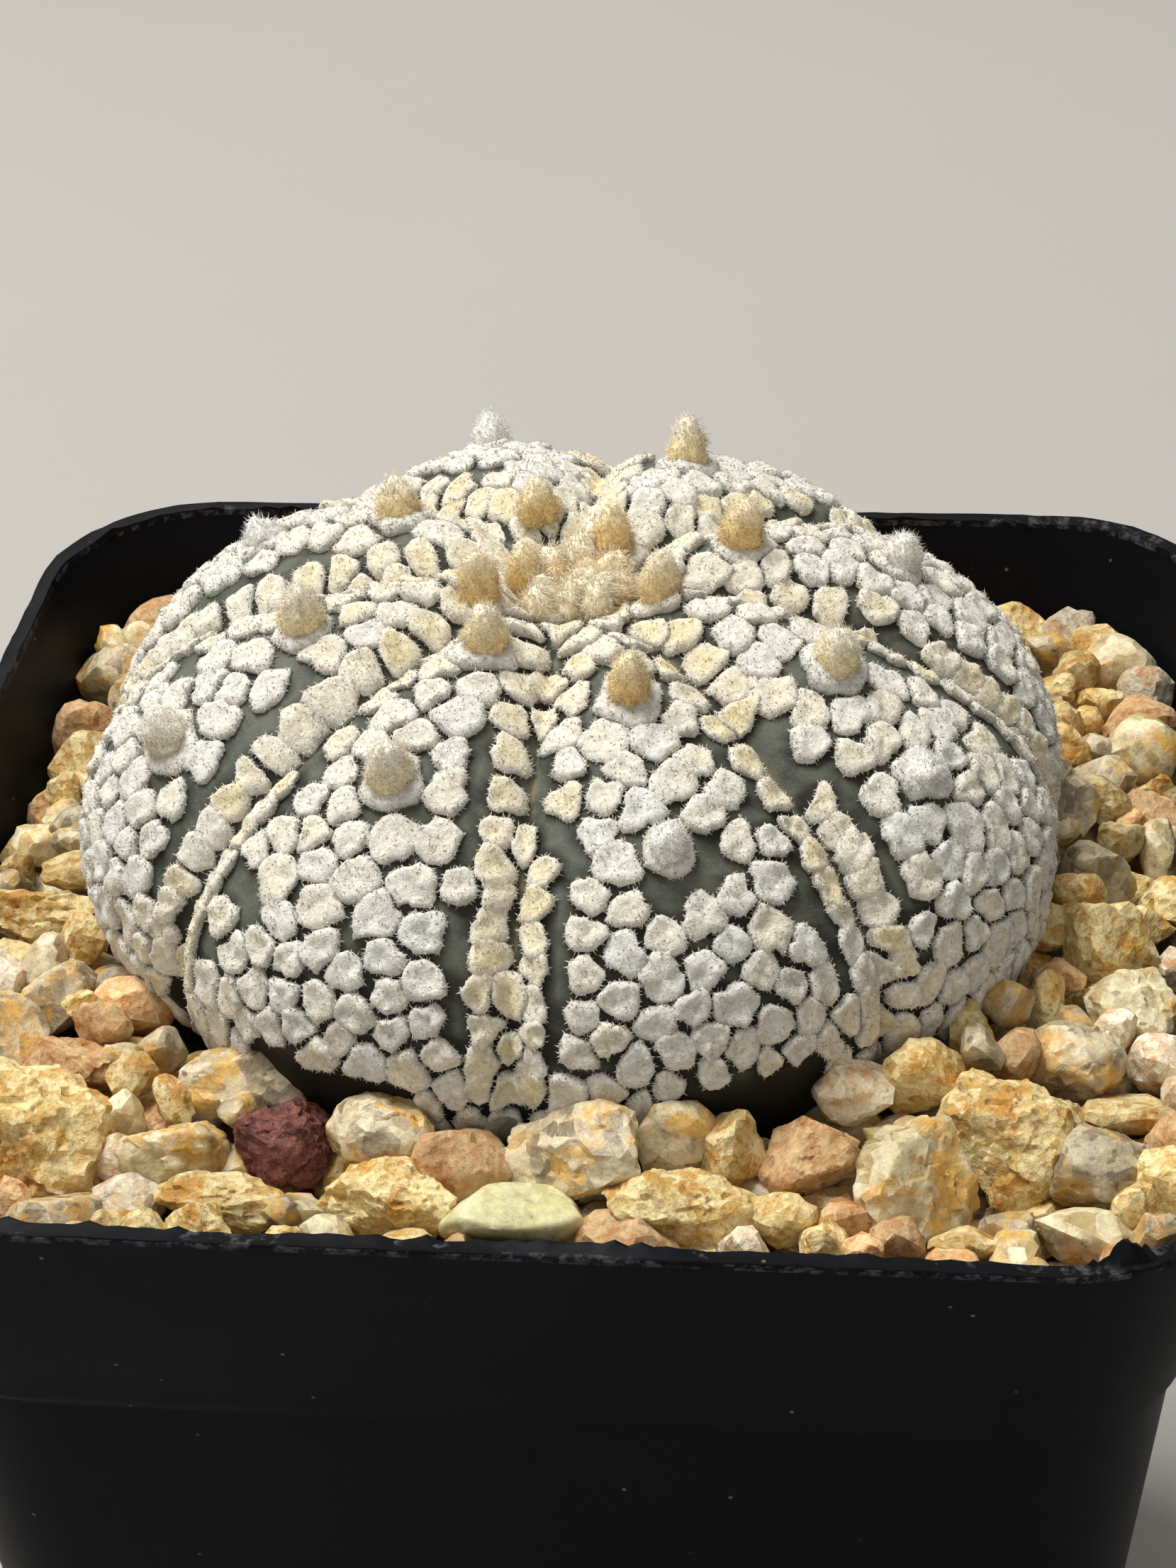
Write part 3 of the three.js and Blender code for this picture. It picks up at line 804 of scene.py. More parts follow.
COLUMNS: tuple[Column, ...] = (
    Column(PAD, -1.3, 6.0, 20.5, 2.3, 1.05, 0.25),
    Column(PAD, -1.25, 21.5, 34.0, 1.8, 0.86, 0.92),
    Column(BARE, -2.75, 15.0, 31.0, 1.3, 0.42, 0.0),
    Column(PAD, 1.2, 6.5, 13.8, 2.3, 1.0, 0.2),
    Column(BARE, 0.8, 15.0, 20.0, 1.2, 0.45, 0.0),
    Column(PAD, 1.05, 21.0, 34.0, 1.7, 0.8, 0.92),
    Column(BARE, 2.4, 19.5, 31.0, 1.3, 0.4, 0.0),
)


@dataclass
class Cells:
    """The cells that tile the skin, as arrays with one row for each cell."""

    kinds: list[CellKind]
    theta: Array
    phi: Array
    reach: Array
    run: Array
    points: Array

    def felted(self) -> Array:
        """Gives the numbers of the cells that carry felt."""
        return np.array([i for i, kind in enumerate(self.kinds) if kind is not BARE])


@dataclass
class CellLayout:
    """The rule that scatters flecks, pads and bare strips over the skin."""

    form: BodyForm
    fleck_reach: float = 1.14
    areole_reach: float = 1.85
    apex_share: float = 0.82
    low_share: float = 0.82
    bare_chance: float = 0.02
    closeness: float = 0.765
    spread: float = 1.04
    lowest: float = math.radians(111)
    hollows: tuple[tuple[float, float, float], ...] = ((249.0, 9.0, 90.0), (296.0, 8.0, 88.0))
    hollow_steps: tuple[float, float] = (2.4, 2.6)
    hollow_foot: float = 107.0
    hollow_reach: float = 0.7
    tries: int = 26000
    seed: int = 41
    relax_rounds: int = 24
    spots: list[Spot] = field(default_factory=list)

    def stretch(self, theta: Array) -> Array:
        """Gives how much a cell is squeezed across: long scales at the apex, long flecks low down."""
        apex = 0.22 * (1 - smoothstep(3.0, 10.0, self.form.outline(theta)[0]))
        return 1.0 - apex - 0.36 * smoothstep(math.radians(78), math.radians(97), theta)

    def uphill(self, theta: Array, phi: Array) -> Array:
        """Gives the direction up the rib at places on the skin."""
        east = np.stack([-np.sin(phi), np.cos(phi), np.zeros_like(phi)], -1)
        return np.cross(self.form.normal(theta, phi), east)

    def limit(self, phi: float) -> float:
        """Gives how far down flecks grow at an azimuth: less far over the hollows in the gravel."""
        over = [low for middle, half, low in self.hollows if abs(math.degrees(phi) - middle) < half]
        return math.radians(over[0]) if over else self.lowest

    def areoles(self) -> None:
        """Places the areoles, whose collars are smaller near the apex and on the oldest."""
        for areole in AREOLES:
            theta = self.form.theta_at(areole.along)
            r = float(self.form.outline(theta)[0])
            phi = self.form.first_rib - areole.rib * self.form.rib_step + areole.side / r
            near = 0.72 + 0.28 * min(areole.along / 10.0, 1.0) - 0.2 * areole.low()
            self.spots.append(Spot(AREOLE, theta, phi, near * self.areole_reach))

    def columns(self, rng: Generator) -> None:
        """Places the pads along both sides of each crease and the bare strips beside them.

        Args:
            rng: Source of the cells' places and sizes.
        """
        for groove in range(self.form.ribs):
            crease = self.form.first_rib - (groove + 0.5) * self.form.rib_step
            for number, column in enumerate(COLUMNS):
                along = column.start + column.step * rng.random()
                while along < column.stop + 1.5 * rng.random():
                    theta = self.form.theta_at(along)
                    r = float(self.form.outline(theta)[0])
                    phi = crease + (column.side + 0.14 * rng.standard_normal()) / r
                    reach = column.reach * (0.92 + 0.16 * rng.random())
                    if column.kind is not BARE or rng.random() > 0.15:
                        self.spots.append(Spot(column.kind, theta, phi, reach, 10 * groove + number))
                    along += column.step * (0.88 + 0.24 * rng.random())

    def bare_feet(self) -> None:
        """Keeps the skin bare where the body overhangs the hollows in the gravel, so that its near-black
        foot shows there as painted shadow.
        """
        across, down = self.hollow_steps
        for middle, half, limit in self.hollows:
            for turn in np.arange(middle - half, middle + half, across):
                for theta in np.arange(limit + 3.0, self.hollow_foot, down):
                    place = (math.radians(theta), math.radians(turn))
                    self.spots.append(Spot(BARE, *place, self.hollow_reach))

    def scatter(self, rng: Generator) -> None:
        """Throws flecks at random wherever they clear the cells already there.

        Args:
            rng: Source of their places and sizes.
        """
        count = len(self.spots)
        held = np.zeros((count + self.tries, 3))
        sizes = np.zeros(len(held))
        for i, spot in enumerate(self.spots):
            held[i] = self.form.skin(np.array(spot.theta), np.array(spot.phi))
            sizes[i] = spot.reach
        thetas = np.arccos(1 - 2 * rng.random(self.tries))
        phis = math.tau * rng.random(self.tries)
        ups = self.uphill(thetas, phis)
        squeezes = self.stretch(thetas)
        points = self.form.skin(thetas, phis)
        for i in range(self.tries):
            if thetas[i] > self.limit(float(phis[i])):
                continue
            r = float(self.form.outline(thetas[i])[0])
            shrink = self.apex_share + (1 - self.apex_share) * min(r / 8.0, 1.0)
            shrink *= 1 - (1 - self.low_share) * float(smoothstep(1.0, 1.5, thetas[i]))
            reach = self.fleck_reach * shrink * (0.84 + 0.32 * rng.random())
            away = held[:count] - points[i]
            away = away - (1 - squeezes[i]) * (away @ ups[i])[:, None] * ups[i]
            if np.all(np.linalg.norm(away, axis=1) > self.closeness * (sizes[:count] + reach)):
                held[count] = points[i]
                sizes[count] = reach
                count += 1
                kind = BARE if r > 9.0 and rng.random() < self.bare_chance else FLECK
                self.spots.append(Spot(kind, float(thetas[i]), float(phis[i]), reach))

    def relax(self, cells: Cells) -> None:
        """Evens out the flecks by pushing near neighbours apart.

        Args:
            cells: All the cells, of which only the flecks move.
        """
        moves = np.array([kind is FLECK for kind in cells.kinds])
        want = self.spread * (cells.reach[:, None] + cells.reach[None, :])
        for _ in range(self.relax_rounds):
            up = self.uphill(cells.theta, cells.phi)
            away = cells.points[:, None, :] - cells.points[None, :, :]
            rise = np.einsum("ijk,ik->ij", away, up) * (1 - self.stretch(cells.theta))[:, None]
            squeezed = away - rise[..., None] * up[:, None, :]
            gap = np.linalg.norm(squeezed, axis=2) + np.eye(len(moves))
            push = np.clip(want - gap, 0.0, None)
            np.fill_diagonal(push, 0.0)
            shift = 0.25 * (away / gap[..., None] * push[..., None]).sum(axis=1)
            moved = cells.points + np.where(moves[:, None], shift, 0.0)
            cells.theta, cells.phi = self.form.locate(moved)
            cells.points = self.form.skin(cells.theta, cells.phi)

    def make(self) -> Cells:
        """Makes all the cells."""
        rng = np.random.default_rng(self.seed)
        self.areoles()
        self.columns(rng)
        self.bare_feet()
        self.scatter(rng)
        keys = ("theta", "phi", "reach", "run")
        rows = [np.array([getattr(spot, key) for spot in self.spots]) for key in keys]
        cells = Cells([spot.kind for spot in self.spots], *rows, self.form.skin(rows[0], rows[1]))
        self.relax(cells)
        return cells


@dataclass
class Cactus:
    """The cactus: its skin and the felt flecks on it."""

    layout: CellLayout
    cells: Cells
    skin_rows: int = 130
    rib_columns: int = 26
    skin_end: float = math.radians(162)
    crease_line: float = 0.2
    # The span in which the low skin turns corky and near black, partly painted shadow under the overhang.
    corky: tuple[float, float] = (math.radians(83), math.radians(92))
    ring_shares: tuple[float, ...] = (0.34, 0.62, 0.83, 0.95, 1.0, 0.95)
    ring_heights: tuple[float, ...] = (0.92, 1.0, 0.98, 0.74, 0.4, -0.25)
    sides: int = 18
    corner_power: float = 5.8
    largest: float = 1.6
    # Painted shade on the skin next to the felt: full within the first of these distances from a felt
    # cell, gone beyond the second.
    gap_edge: float = 1.03
    open_edge: float = 1.5
    joined_chance: float = 0.24
    joined_overlap: float = 0.42
    waves: tuple[tuple[int, float], ...] = ((2, 0.07), (3, 0.08), (5, 0.05))
    cream_by_crease: float = 0.5
    cream_by_apex: float = 0.42
    nearest_edge: float = 0.3
    neighbours_within: float = 6.0
    uneven_angles: float = 0.06
    uneven_edge: float = 0.055
    thickness: float = 0.44
    collar_thicker: float = 1.35
    dimple: float = 0.34
    scale_tilt: float = 0.34
    folds: float = 0.26
    fold_size: float = 0.85
    crinkles: float = 0.2
    crinkle_size: float = 0.62
    seed: int = 7

    def azimuths(self) -> Array:
        """Gives azimuths that are close together by the creases."""
        form = self.layout.form
        steps = np.linspace(-1.0, 1.0, self.rib_columns + 1)[:-1]
        across = 0.5 * np.sin(0.5 * math.pi * steps) * form.rib_step
        ribs = form.first_rib + form.rib_step * np.arange(form.ribs)
        return (ribs[:, None] + across[None, :]).ravel()

    def build_skin(self, material: Material) -> Object:
        """Builds the ribbed skin with its underside and taproot as one closed mesh.

        Args:
            material: The skin's finish.

        Returns:
            The piece that stands for the cactus solid.
        """
        form = self.layout.form
        phi = self.azimuths()
        theta = np.linspace(0.0, self.skin_end, self.skin_rows + 1)[1:, None] * np.ones(len(phi))
        r = form.outline(theta)[0]
        skin = form.skin(theta, phi)
        line = np.exp(-((form.from_crease(r, phi) / self.crease_line) ** 2)) * smoothstep(5.0, 8.0, r)
        felt = self.cells.points[self.cells.felted()]
        near = np.array([np.linalg.norm(row[:, None] - felt, axis=2).min(axis=1) for row in skin])
        root = (
            (form.root_neck, -form.base_depth),
            (0.55 * form.root_neck, -form.base_depth - 0.45 * form.root_depth),
            (form.root_tip, -form.base_depth - form.root_depth),
        )
        top = form.skin(np.array(0.0), np.array(0.0))
        rows = [*skin, *(polar(radius, phi, level) for radius, level in root)]
        points = np.concatenate([*rows, [top], [[0.0, 0.0, root[-1][1]]]])
        none = np.zeros(len(root) * len(phi))
        tones = {
            "crease": np.append(line, [*none, 0.0, 0.0]),
            # The low skin is corky and painted near black as the shadow under the body's overhang.
            "foot": np.append(smoothstep(*self.corky, theta), [*(none + 1.0), 0.0, 1.0]),
            # Painted shade: low next to the felt, where the skin is coloured dark as the flecks' shade.
            "open": np.append(smoothstep(self.gap_edge, self.open_edge, near), [*none, 0.0, 0.0]),
        }
        piece = mesh_object("cactus_skin", form.place(points), loft_faces(len(rows), len(phi)), tones)
        return finish_piece(piece, material, ("cactus",))

    def gaps(self, rng: Generator) -> Array:
        """Gives the bare gap between each two cells, below zero where their felt has grown together.

        Args:
            rng: Source of the gaps and of which cells are joined.

        Returns:
            A square array with a row and a column for each cell.
        """
        run = self.cells.run
        square = (len(run), len(run))
        gap = 0.01 + 0.22 * rng.random(square) ** 1.8
        gap = np.where(rng.random(square) < self.joined_chance, -self.joined_overlap, gap)
        in_column = run[:, None] >= 0
        same = (run[:, None] == run[None, :]) & in_column
        joins = np.array([COLUMNS[own % 10].joins if own >= 0 else 0.0 for own in run])
        gap = np.where(same, np.where(rng.random(square) < joins[:, None], -0.9, 0.2), gap)
        across = (run[:, None] // 10 == run[None, :] // 10) & ~same & in_column
        gap = np.where(across, 0.34, gap)
        gap = np.triu(gap) + np.triu(gap, 1).T
        gap[:, [kind is BARE for kind in self.cells.kinds]] = 0.1
        return gap

    def outlines(self, chosen: Array, rng: Generator) -> Array:
        """Works out each cell's rounded outline from its neighbours.

        Args:
            chosen: Numbers of the cells that carry felt.
            rng: Source of the gaps between flecks.

        Returns:
            Offsets of each outline's points from its cell's middle.
        """
        cells = self.cells
        up = self.layout.uphill(cells.theta[chosen], cells.phi[chosen])
        east = np.cross(up, self.layout.form.normal(cells.theta[chosen], cells.phi[chosen]))
        squeeze = self.layout.stretch(cells.theta)
        gap = self.gaps(rng)
        angles = np.linspace(0.0, math.tau, self.sides, endpoint=False)
        angles = angles + self.uneven_angles * rng.standard_normal((len(chosen), self.sides))
        radii = np.zeros((len(chosen), self.sides))
        for row, cell in enumerate(chosen):
            away = cells.points - cells.points[cell]
            span = np.linalg.norm(away, axis=1)
            near = np.flatnonzero((span > 0) & (span < self.neighbours_within))
            x = away[near] @ east[row]
            y = away[near] @ up[row] * squeeze[cell]
            share = cells.reach[cell] / (cells.reach[cell] + cells.reach[near])
            half = np.maximum(np.hypot(x, y) * share - gap[cell, near] / 2, self.nearest_edge)
            turn = np.arctan2(y, x)
            facing = np.clip(np.cos(angles[row][:, None] - turn[None, :]), 0.0, None) / half[None, :]
            largest = self.largest * cells.reach[cell]
            gauge = (facing**self.corner_power).sum(axis=1) + largest**-self.corner_power
            radii[row] = gauge ** (-1 / self.corner_power)
        ripple = self.uneven_edge * rng.standard_normal(radii.shape)
        for waves, depth in self.waves:
            ripple += depth * np.sin(waves * angles + math.tau * rng.random((len(chosen), 1)))
        radii = radii * (1 + ripple)
        x = (radii * np.cos(angles))[..., None] * east[:, None, :]
        y = (radii * np.sin(angles) / squeeze[chosen][:, None])[..., None] * up[:, None, :]
        return x + y

    def warmth(self, r: Array, phi: Array, rng: Generator) -> Array:
        """Gives how cream each fleck is: whitest on the ribs, cream by the creases and the apex.

        Args:
            r: Distances from the axis.
            phi: Azimuths.
            rng: Source of the difference from fleck to fleck.

        Returns:
            A value from 0 to 1 for each fleck.
        """
        off = self.layout.form.from_crease(r, phi)
        by_crease = self.cream_by_crease * (1 - smoothstep(0.8, 4.2, off))
        by_apex = self.cream_by_apex * (1 - smoothstep(3.0, 11.0, r))
        chance = 0.24 + 0.2 * rng.standard_normal(len(r))
        return np.clip(np.maximum(by_crease, by_apex) + chance, 0, 1)

    def build_flecks(self, material: Material) -> Object:
        """Builds the felt flecks, pads and areole collars as thick rounded cushions.

        Their undersides follow all other faces: hairs are scattered in the order of the faces.

        Args:
            material: The flecks' finish.

        Returns:
            The piece, with attributes for its colour and for where hairs grow.
        """
        rng = np.random.default_rng(self.seed)
        form = self.layout.form
        chosen = self.cells.felted()
        own = self.cells.points[chosen]
        theta, phi = self.cells.theta[chosen], self.cells.phi[chosen]
        r = np.hypot(own[:, 0], own[:, 1])
        count = len(chosen)
        outline = self.outlines(chosen, rng)
        warm = self.warmth(r, phi, rng)[:, None]
        turn = np.linspace(0.0, math.tau, self.sides, endpoint=False)[None, :]
        thick = self.thickness * (0.8 + 0.45 * rng.random((count, 1)))
        thick[[self.cells.kinds[cell] is AREOLE for cell in chosen]] *= self.collar_thicker
        dimple = self.dimple * rng.random((count, 1)) ** 1.8
        tilt = self.scale_tilt * (1 - smoothstep(5.0, 13.0, r[:, None])) * -np.sin(turn)
        ridge = 0.15 * np.cos(2 * turn + math.tau * rng.random((count, 1)))
        ridge = ridge + 0.13 * np.cos(3 * turn + math.tau * rng.random((count, 1)))
        rings, fringe, shade = [], [], []
        for share, height in zip(self.ring_shares, self.ring_heights):
            flat = own[:, None, :] + share * outline
            lift = thick * (height - dimple * max(0.0, 1 - share / 0.7))
            if height > 0:
                spots = flat.reshape(-1, 3)
                broad = np.array([noise.noise(Vector(p / self.fold_size)) for p in spots])
                sharp = np.array([abs(noise.noise(Vector(p / self.crinkle_size + 9.0))) for p in spots])
                folds = self.folds * broad + self.crinkles * (0.25 - sharp)
                folds = folds.reshape(count, -1) * (1.1 - 0.8 * share**4)
                lift = lift + folds + share * (tilt + thick * ridge)
            rings.append(form.skin(*form.locate(flat), lift))
            fringe.append(np.full((count, self.sides), 1.0 if 0 < height < 0.8 else 0.0))
            shade.append(np.repeat(warm * (1.1 - 0.75 * share**3), self.sides, axis=1))
        middle = form.skin(theta, phi, (0.86 - dimple[:, 0]) * thick[:, 0])
        under = form.skin(theta, phi, self.ring_heights[-1] * thick[:, 0])
        points = np.concatenate([*rings, middle[:, None], under[:, None]], axis=1)
        step = points.shape[1]
        cell = loft_faces(len(rings), self.sides)
        faces = copies((face for face in cell if step - 1 not in face), count, step)
        faces += copies((face for face in cell if step - 1 in face), count, step)
        edge = np.concatenate([*fringe, np.zeros((count, 2))], 1) * (theta < math.radians(100))[:, None]
        tint = np.concatenate([*shade, 1.1 * warm, warm], 1)
        raised = np.array([*np.repeat(np.array(self.ring_heights) > 0, self.sides), True, False])
        nap = (edge < 0.5) & raised & (theta < math.radians(88))[:, None]
        tones = {"warm": tint, "fringe": edge, "nap": nap.astype(float)}
        piece = mesh_object("felt_flecks", form.place(points.reshape(-1, 3)), faces, tones)
        return finish_piece(piece, material)


@dataclass
class WoolLumps:
    """Matted lumps of areole wool: the tufts of the areoles and the wool of the sunken apex."""

    form: BodyForm
    cells: Cells
    tuft_width: float = 2.2
    tuft_narrowest: float = 0.92
    highest: float = 89.05
    apex_radius: float = 2.5
    apex_lumps: int = 14
    around: int = 26
    rings: int = 12
    matting: float = 0.24
    matting_size: float = 0.7
    seed: int = 19
    made: list[Array] = field(default_factory=list)
    warm: list[Array] = field(default_factory=list)

    def lump(
        self, foot: Array, up: Array, size: tuple[float, float], shift: float, matting: float, gold: float
    ) -> None:
        """Makes one closed egg of matted wool, widest in its lower third, deepest gold at its foot.

        Args:
            foot: The point of the skin that it stands on.
            up: The direction that it rises in.
            size: Its greatest width and its height over the skin.
            shift: A number that makes its matting its own.
            matting: How deep its matting is.
            gold: How golden it is.
        """
        width, height = size
        side = unit(np.cross(up, [0.3, 0.2, 1.0]))
        other = np.cross(up, side)
        polar_angle = np.linspace(0.0, math.pi, self.rings + 2)[1:-1]
        turn = np.linspace(0.0, math.tau, self.around, endpoint=False)
        level = np.where(np.cos(polar_angle) > 0, 0.7, 0.45) * np.cos(polar_angle) * height + 0.3 * height
        reach = 0.5 * width * np.sin(polar_angle) ** 0.9 * (1 - 0.24 * np.cos(polar_angle))
        flat = np.cos(turn)[:, None] * side + np.sin(turn)[:, None] * other
        body = foot + level[:, None, None] * up + reach[:, None, None] * flat
        points = np.concatenate([body.reshape(-1, 3), foot + np.outer([height, -0.15 * height], up)])
        centre = foot + 0.35 * height * up
        for i, point in enumerate(points):
            rise = noise.fractal(Vector(point / self.matting_size + shift), 0.6, 2.1, 4) * matting
            points[i] = point + unit(point - centre) * rise
        share = np.clip((points - foot) @ up / height, 0.0, 1.0)
        self.made.append(points)
        self.warm.append(gold * (1.0 - 0.48 * smoothstep(0.15, 1.0, share)))

    def gather(self, name: str, material: Material) -> Object:
        """Joins the lumps made so far into one piece, with how warm it is and where its fibres stand."""
        count, step = len(self.made), len(self.made[0])
        faces = copies(loft_faces(self.rings, self.around), count, step)
        tones = {"warm": np.concatenate(self.warm), "fringe": np.ones(count * step)}
        piece = mesh_object(name, self.form.place(np.concatenate(self.made)), faces, tones)
        self.made.clear()
        self.warm.clear()
        return finish_piece(piece, material)

    def build_tufts(self, material: Material) -> Object:
        """Builds the areoles' tufts as eggs that rise almost upright from their collars.

        Args:
            material: The felt's finish.

        Returns:
            The piece.
        """
        rng = np.random.default_rng(self.seed)
        for number, spot in enumerate(AREOLES):
            theta, phi = self.cells.theta[number], self.cells.phi[number]
            near = self.tuft_narrowest + (1 - self.tuft_narrowest) * min(spot.along / 10.0, 1.0)
            low = spot.low()
            axis = (0.45 + 0.3 * low) * self.form.normal(theta, phi)
            axis = unit(axis + np.array([0.0, 0.0, 0.6 - 0.4 * low]) + 0.06 * rng.standard_normal(3))
            foot = self.form.skin(theta, phi, 0.15)
            width = self.tuft_width * near * (0.94 + 0.12 * rng.random()) * (1 - 0.1 * low)
            room = (self.highest - self.form.place(foot)[2]) / axis[2]
            rise = min(spot.rise * (0.97 + 0.06 * rng.random()) * (1 - 0.45 * low), room)
            self.lump(foot, axis, (width, rise), 7.3 * number, self.matting + 0.1 * low, spot.gold)
        return self.gather("areole_tufts", material)

    def build_apex(self, material: Material) -> Object:
        """Builds the apex's wool as overlapping lumps in the sunken middle.

        Args:
            material: The wool's finish.

        Returns:
            The piece.
        """
        rng = np.random.default_rng(self.seed + 1)
        for number in range(self.apex_lumps):
            r = self.apex_radius * math.sqrt((number + 0.2) / self.apex_lumps)
            turn = 2.4 * number + 0.5 * rng.random()
            foot = self.form.skin(np.array(math.asin(r / self.form.equator_radius)), np.array(turn), 0.1)
            axis = unit(np.array([0.3 * math.cos(turn), 0.3 * math.sin(turn), 1.0]))
            size = (1.9 + 0.8 * rng.random(), 2.5 + 0.9 * rng.random() - 0.3 * r)
            self.lump(foot, axis, size, 40 + 3.1 * number, self.matting, 0.35 + 0.8 * rng.random())
        return self.gather("apex_wool", material)


@dataclass(frozen=True)
class Fibres:
    """Fine plant hairs that stand on felt, scattered by a Geometry Nodes tree."""

    name: str
    per_mm2: float
    length_mm: float
    width_mm: float
    lean: float
    seed: int
    where: str = "fringe"
    bent: bool = False

    def blade(self) -> Object:
        """Makes one closed hair, one unit wide and long, bent where it is long enough to show it."""
        corners = [(math.cos(t), math.sin(t)) for t in (0.0, 2.1, 4.2)]
        points = [(0.5 * x, 0.5 * y, -0.1) for x, y in corners]
        faces: list[Face] = [(2, 1, 0)]
        if self.bent:
            points += [(0.42 * x + 1.2, 0.42 * y, 0.5) for x, y in corners]
            faces += [(i, j, 3 + j, 3 + i) for i, j in ((0, 1), (1, 2), (2, 0))]
        tip = len(points)
        faces += [(tip - 3 + i, tip - 3 + j, tip) for i, j in ((0, 1), (1, 2), (2, 0))]
        points.append((5.5 if self.bent else 0.0, 0.0, 0.9))
        return mesh_object(self.name + "_blade", np.array(points) / MM, faces)

    def tree(self) -> NodeTree:
        """Builds the tree that scatters hairs where the chosen attribute is high."""
        sizes = dict.fromkeys(("Density", "Length", "Width", "Lean"), "Float")
        sockets = {"Felt": "Geometry", **sizes, "Seed": "Int", "Blade": "Object", "Material": "Material"}
        tree, add, given = start_tree(self.name, sockets, "Hairs")
        chosen = add(NAMED, {"Name": self.where}, "Attribute", data_type="FLOAT")
        density = add(MATH, [given["Density"], chosen], operation="MULTIPLY")
        scattered = {"Mesh": given["Felt"], "Density": density, "Seed": given["Seed"]}
        spots = add("GeometryNodeDistributePointsOnFaces", scattered, None).outputs
        low = add(MATH, [given["Lean"], -1.0], operation="MULTIPLY")
        within = {0: low, 1: given["Lean"], "Seed": 5}
        sway = add("FunctionNodeRandomValue", within, data_type="FLOAT_VECTOR")
        way = add(VECTOR_MATH, [spots["Normal"], sway], operation="ADD")
        turn = add("FunctionNodeAlignRotationToVector", {"Vector": way}, axis="Z")
        share = add("FunctionNodeRandomValue", {2: 0.45, 3: 1.35, "Seed": 9}, 1, data_type="FLOAT")
        tall = add(MATH, [given["Length"], share], operation="MULTIPLY")
        size = add("ShaderNodeCombineXYZ", [given["Width"], given["Width"], tall])
        own = {"Object": given["Blade"]}
        shape = add("GeometryNodeObjectInfo", own, "Geometry", transform_space="ORIGINAL")
        stood = {"Points": spots["Points"], "Instance": shape, "Rotation": turn, "Scale": size}
        end_tree(add, add("GeometryNodeInstanceOnPoints", stood), given["Material"])
        return tree

    def grow(self, felt: Object, material: Material) -> Object:
        """Grows the hairs of one felted piece as a piece of their own.

        Args:
            felt: The piece that the hairs stand on.
            material: The hairs' finish.

        Returns:
            The hairs as a plain mesh.
        """
        ground = add_object(self.name + "_ground", felt.data.copy())
        blade = self.blade()
        values = {
            "Density": self.per_mm2 / MM**2,
            "Length": self.length_mm * MM,
            "Width": self.width_mm * MM,
            "Lean": self.lean,
            "Seed": self.seed,
            "Blade": blade,
            "Material": material,
        }
        run_tree(ground, self.tree(), values)
        hairs = baked(ground, self.name)
        remove_object(blade)
        return finish_piece(hairs, None)


@dataclass(frozen=True)
class KeyStone:
    """A grain that the photograph shows clearly: its pixel, its width and height there, its kind."""

    across: float
    down: float
    wide: float
    tall: float
    kind: StoneKind


KEY_STONES: tuple[KeyStone, ...] = tuple(
    KeyStone(*row)
    for row in (
        (45, 1615, 210, 220, PUMICE), (85, 1510, 175, 100, CLAY), (180, 1695, 120, 75, CHALK),
        (260, 1625, 155, 95, CREAM), (315, 1695, 165, 75, PUMICE), (410, 1605, 135, 110, LAVA),
        (340, 1520, 185, 110, QUARTZ), (480, 1510, 105, 75, PUMICE), (420, 1710, 85, 60, QUARTZ),
        (540, 1605, 140, 110, QUARTZ), (550, 1695, 165, 100, PUMICE), (655, 1640, 130, 100, CLAY),
        (725, 1720, 185, 85, GREEN), (815, 1630, 210, 140, QUARTZ), (945, 1605, 120, 110, QUARTZ),
        (960, 1710, 190, 110, PUMICE), (1030, 1625, 100, 120, PUMICE), (1140, 1635, 120, 120, CLAY),
        (1100, 1730, 100, 80, PUMICE), (1190, 1735, 85, 70, CLAY), (1290, 1675, 175, 195, CREAM),
        (1420, 1615, 165, 185, PUMICE), (1550, 1660, 165, 120, QUARTZ), (1365, 1755, 100, 55, PUMICE),
        (1430, 1740, 85, 65, QUARTZ), (1530, 1745, 165, 65, CREAM), (1590, 1575, 155, 75, PUMICE),
        (1515, 1505, 130, 110, QUARTZ), (1595, 1425, 135, 120, CREAM), (1495, 1380, 70, 65, CLAY),
        (1300, 1515, 110, 100, PUMICE), (1200, 1545, 100, 105, CHALK), (1365, 1460, 65, 85, PUMICE),
        (1460, 1305, 110, 75, PUMICE), (1545, 1235, 110, 85, QUARTZ), (1635, 1215, 65, 100, CREAM),
        (1615, 1310, 85, 65, PUMICE), (80, 1410, 120, 100, QUARTZ), (190, 1415, 95, 100, CLAY),
        (65, 1305, 185, 85, PUMICE), (115, 1230, 120, 65, PUMICE), (120, 1165, 85, 65, QUARTZ),
        (50, 1040, 85, 110, CLAY), (100, 955, 110, 100, QUARTZ), (40, 1145, 65, 70, CLAY),
        (225, 830, 120, 85, CLAY), (140, 895, 85, 65, CREAM), (120, 1025, 65, 65, CREAM),
        (1385, 815, 85, 50, CLAY), (1440, 865, 110, 75, PUMICE), (1515, 840, 75, 65, CHALK),
        (1575, 860, 85, 75, PUMICE), (1610, 935, 100, 85, CREAM), (1475, 920, 75, 65, QUARTZ),
        (1640, 1035, 100, 85, CLAY), (1550, 995, 75, 65, PUMICE), (1550, 1110, 120, 100, QUARTZ),
        (1640, 1125, 65, 65, PUMICE),
    )
)


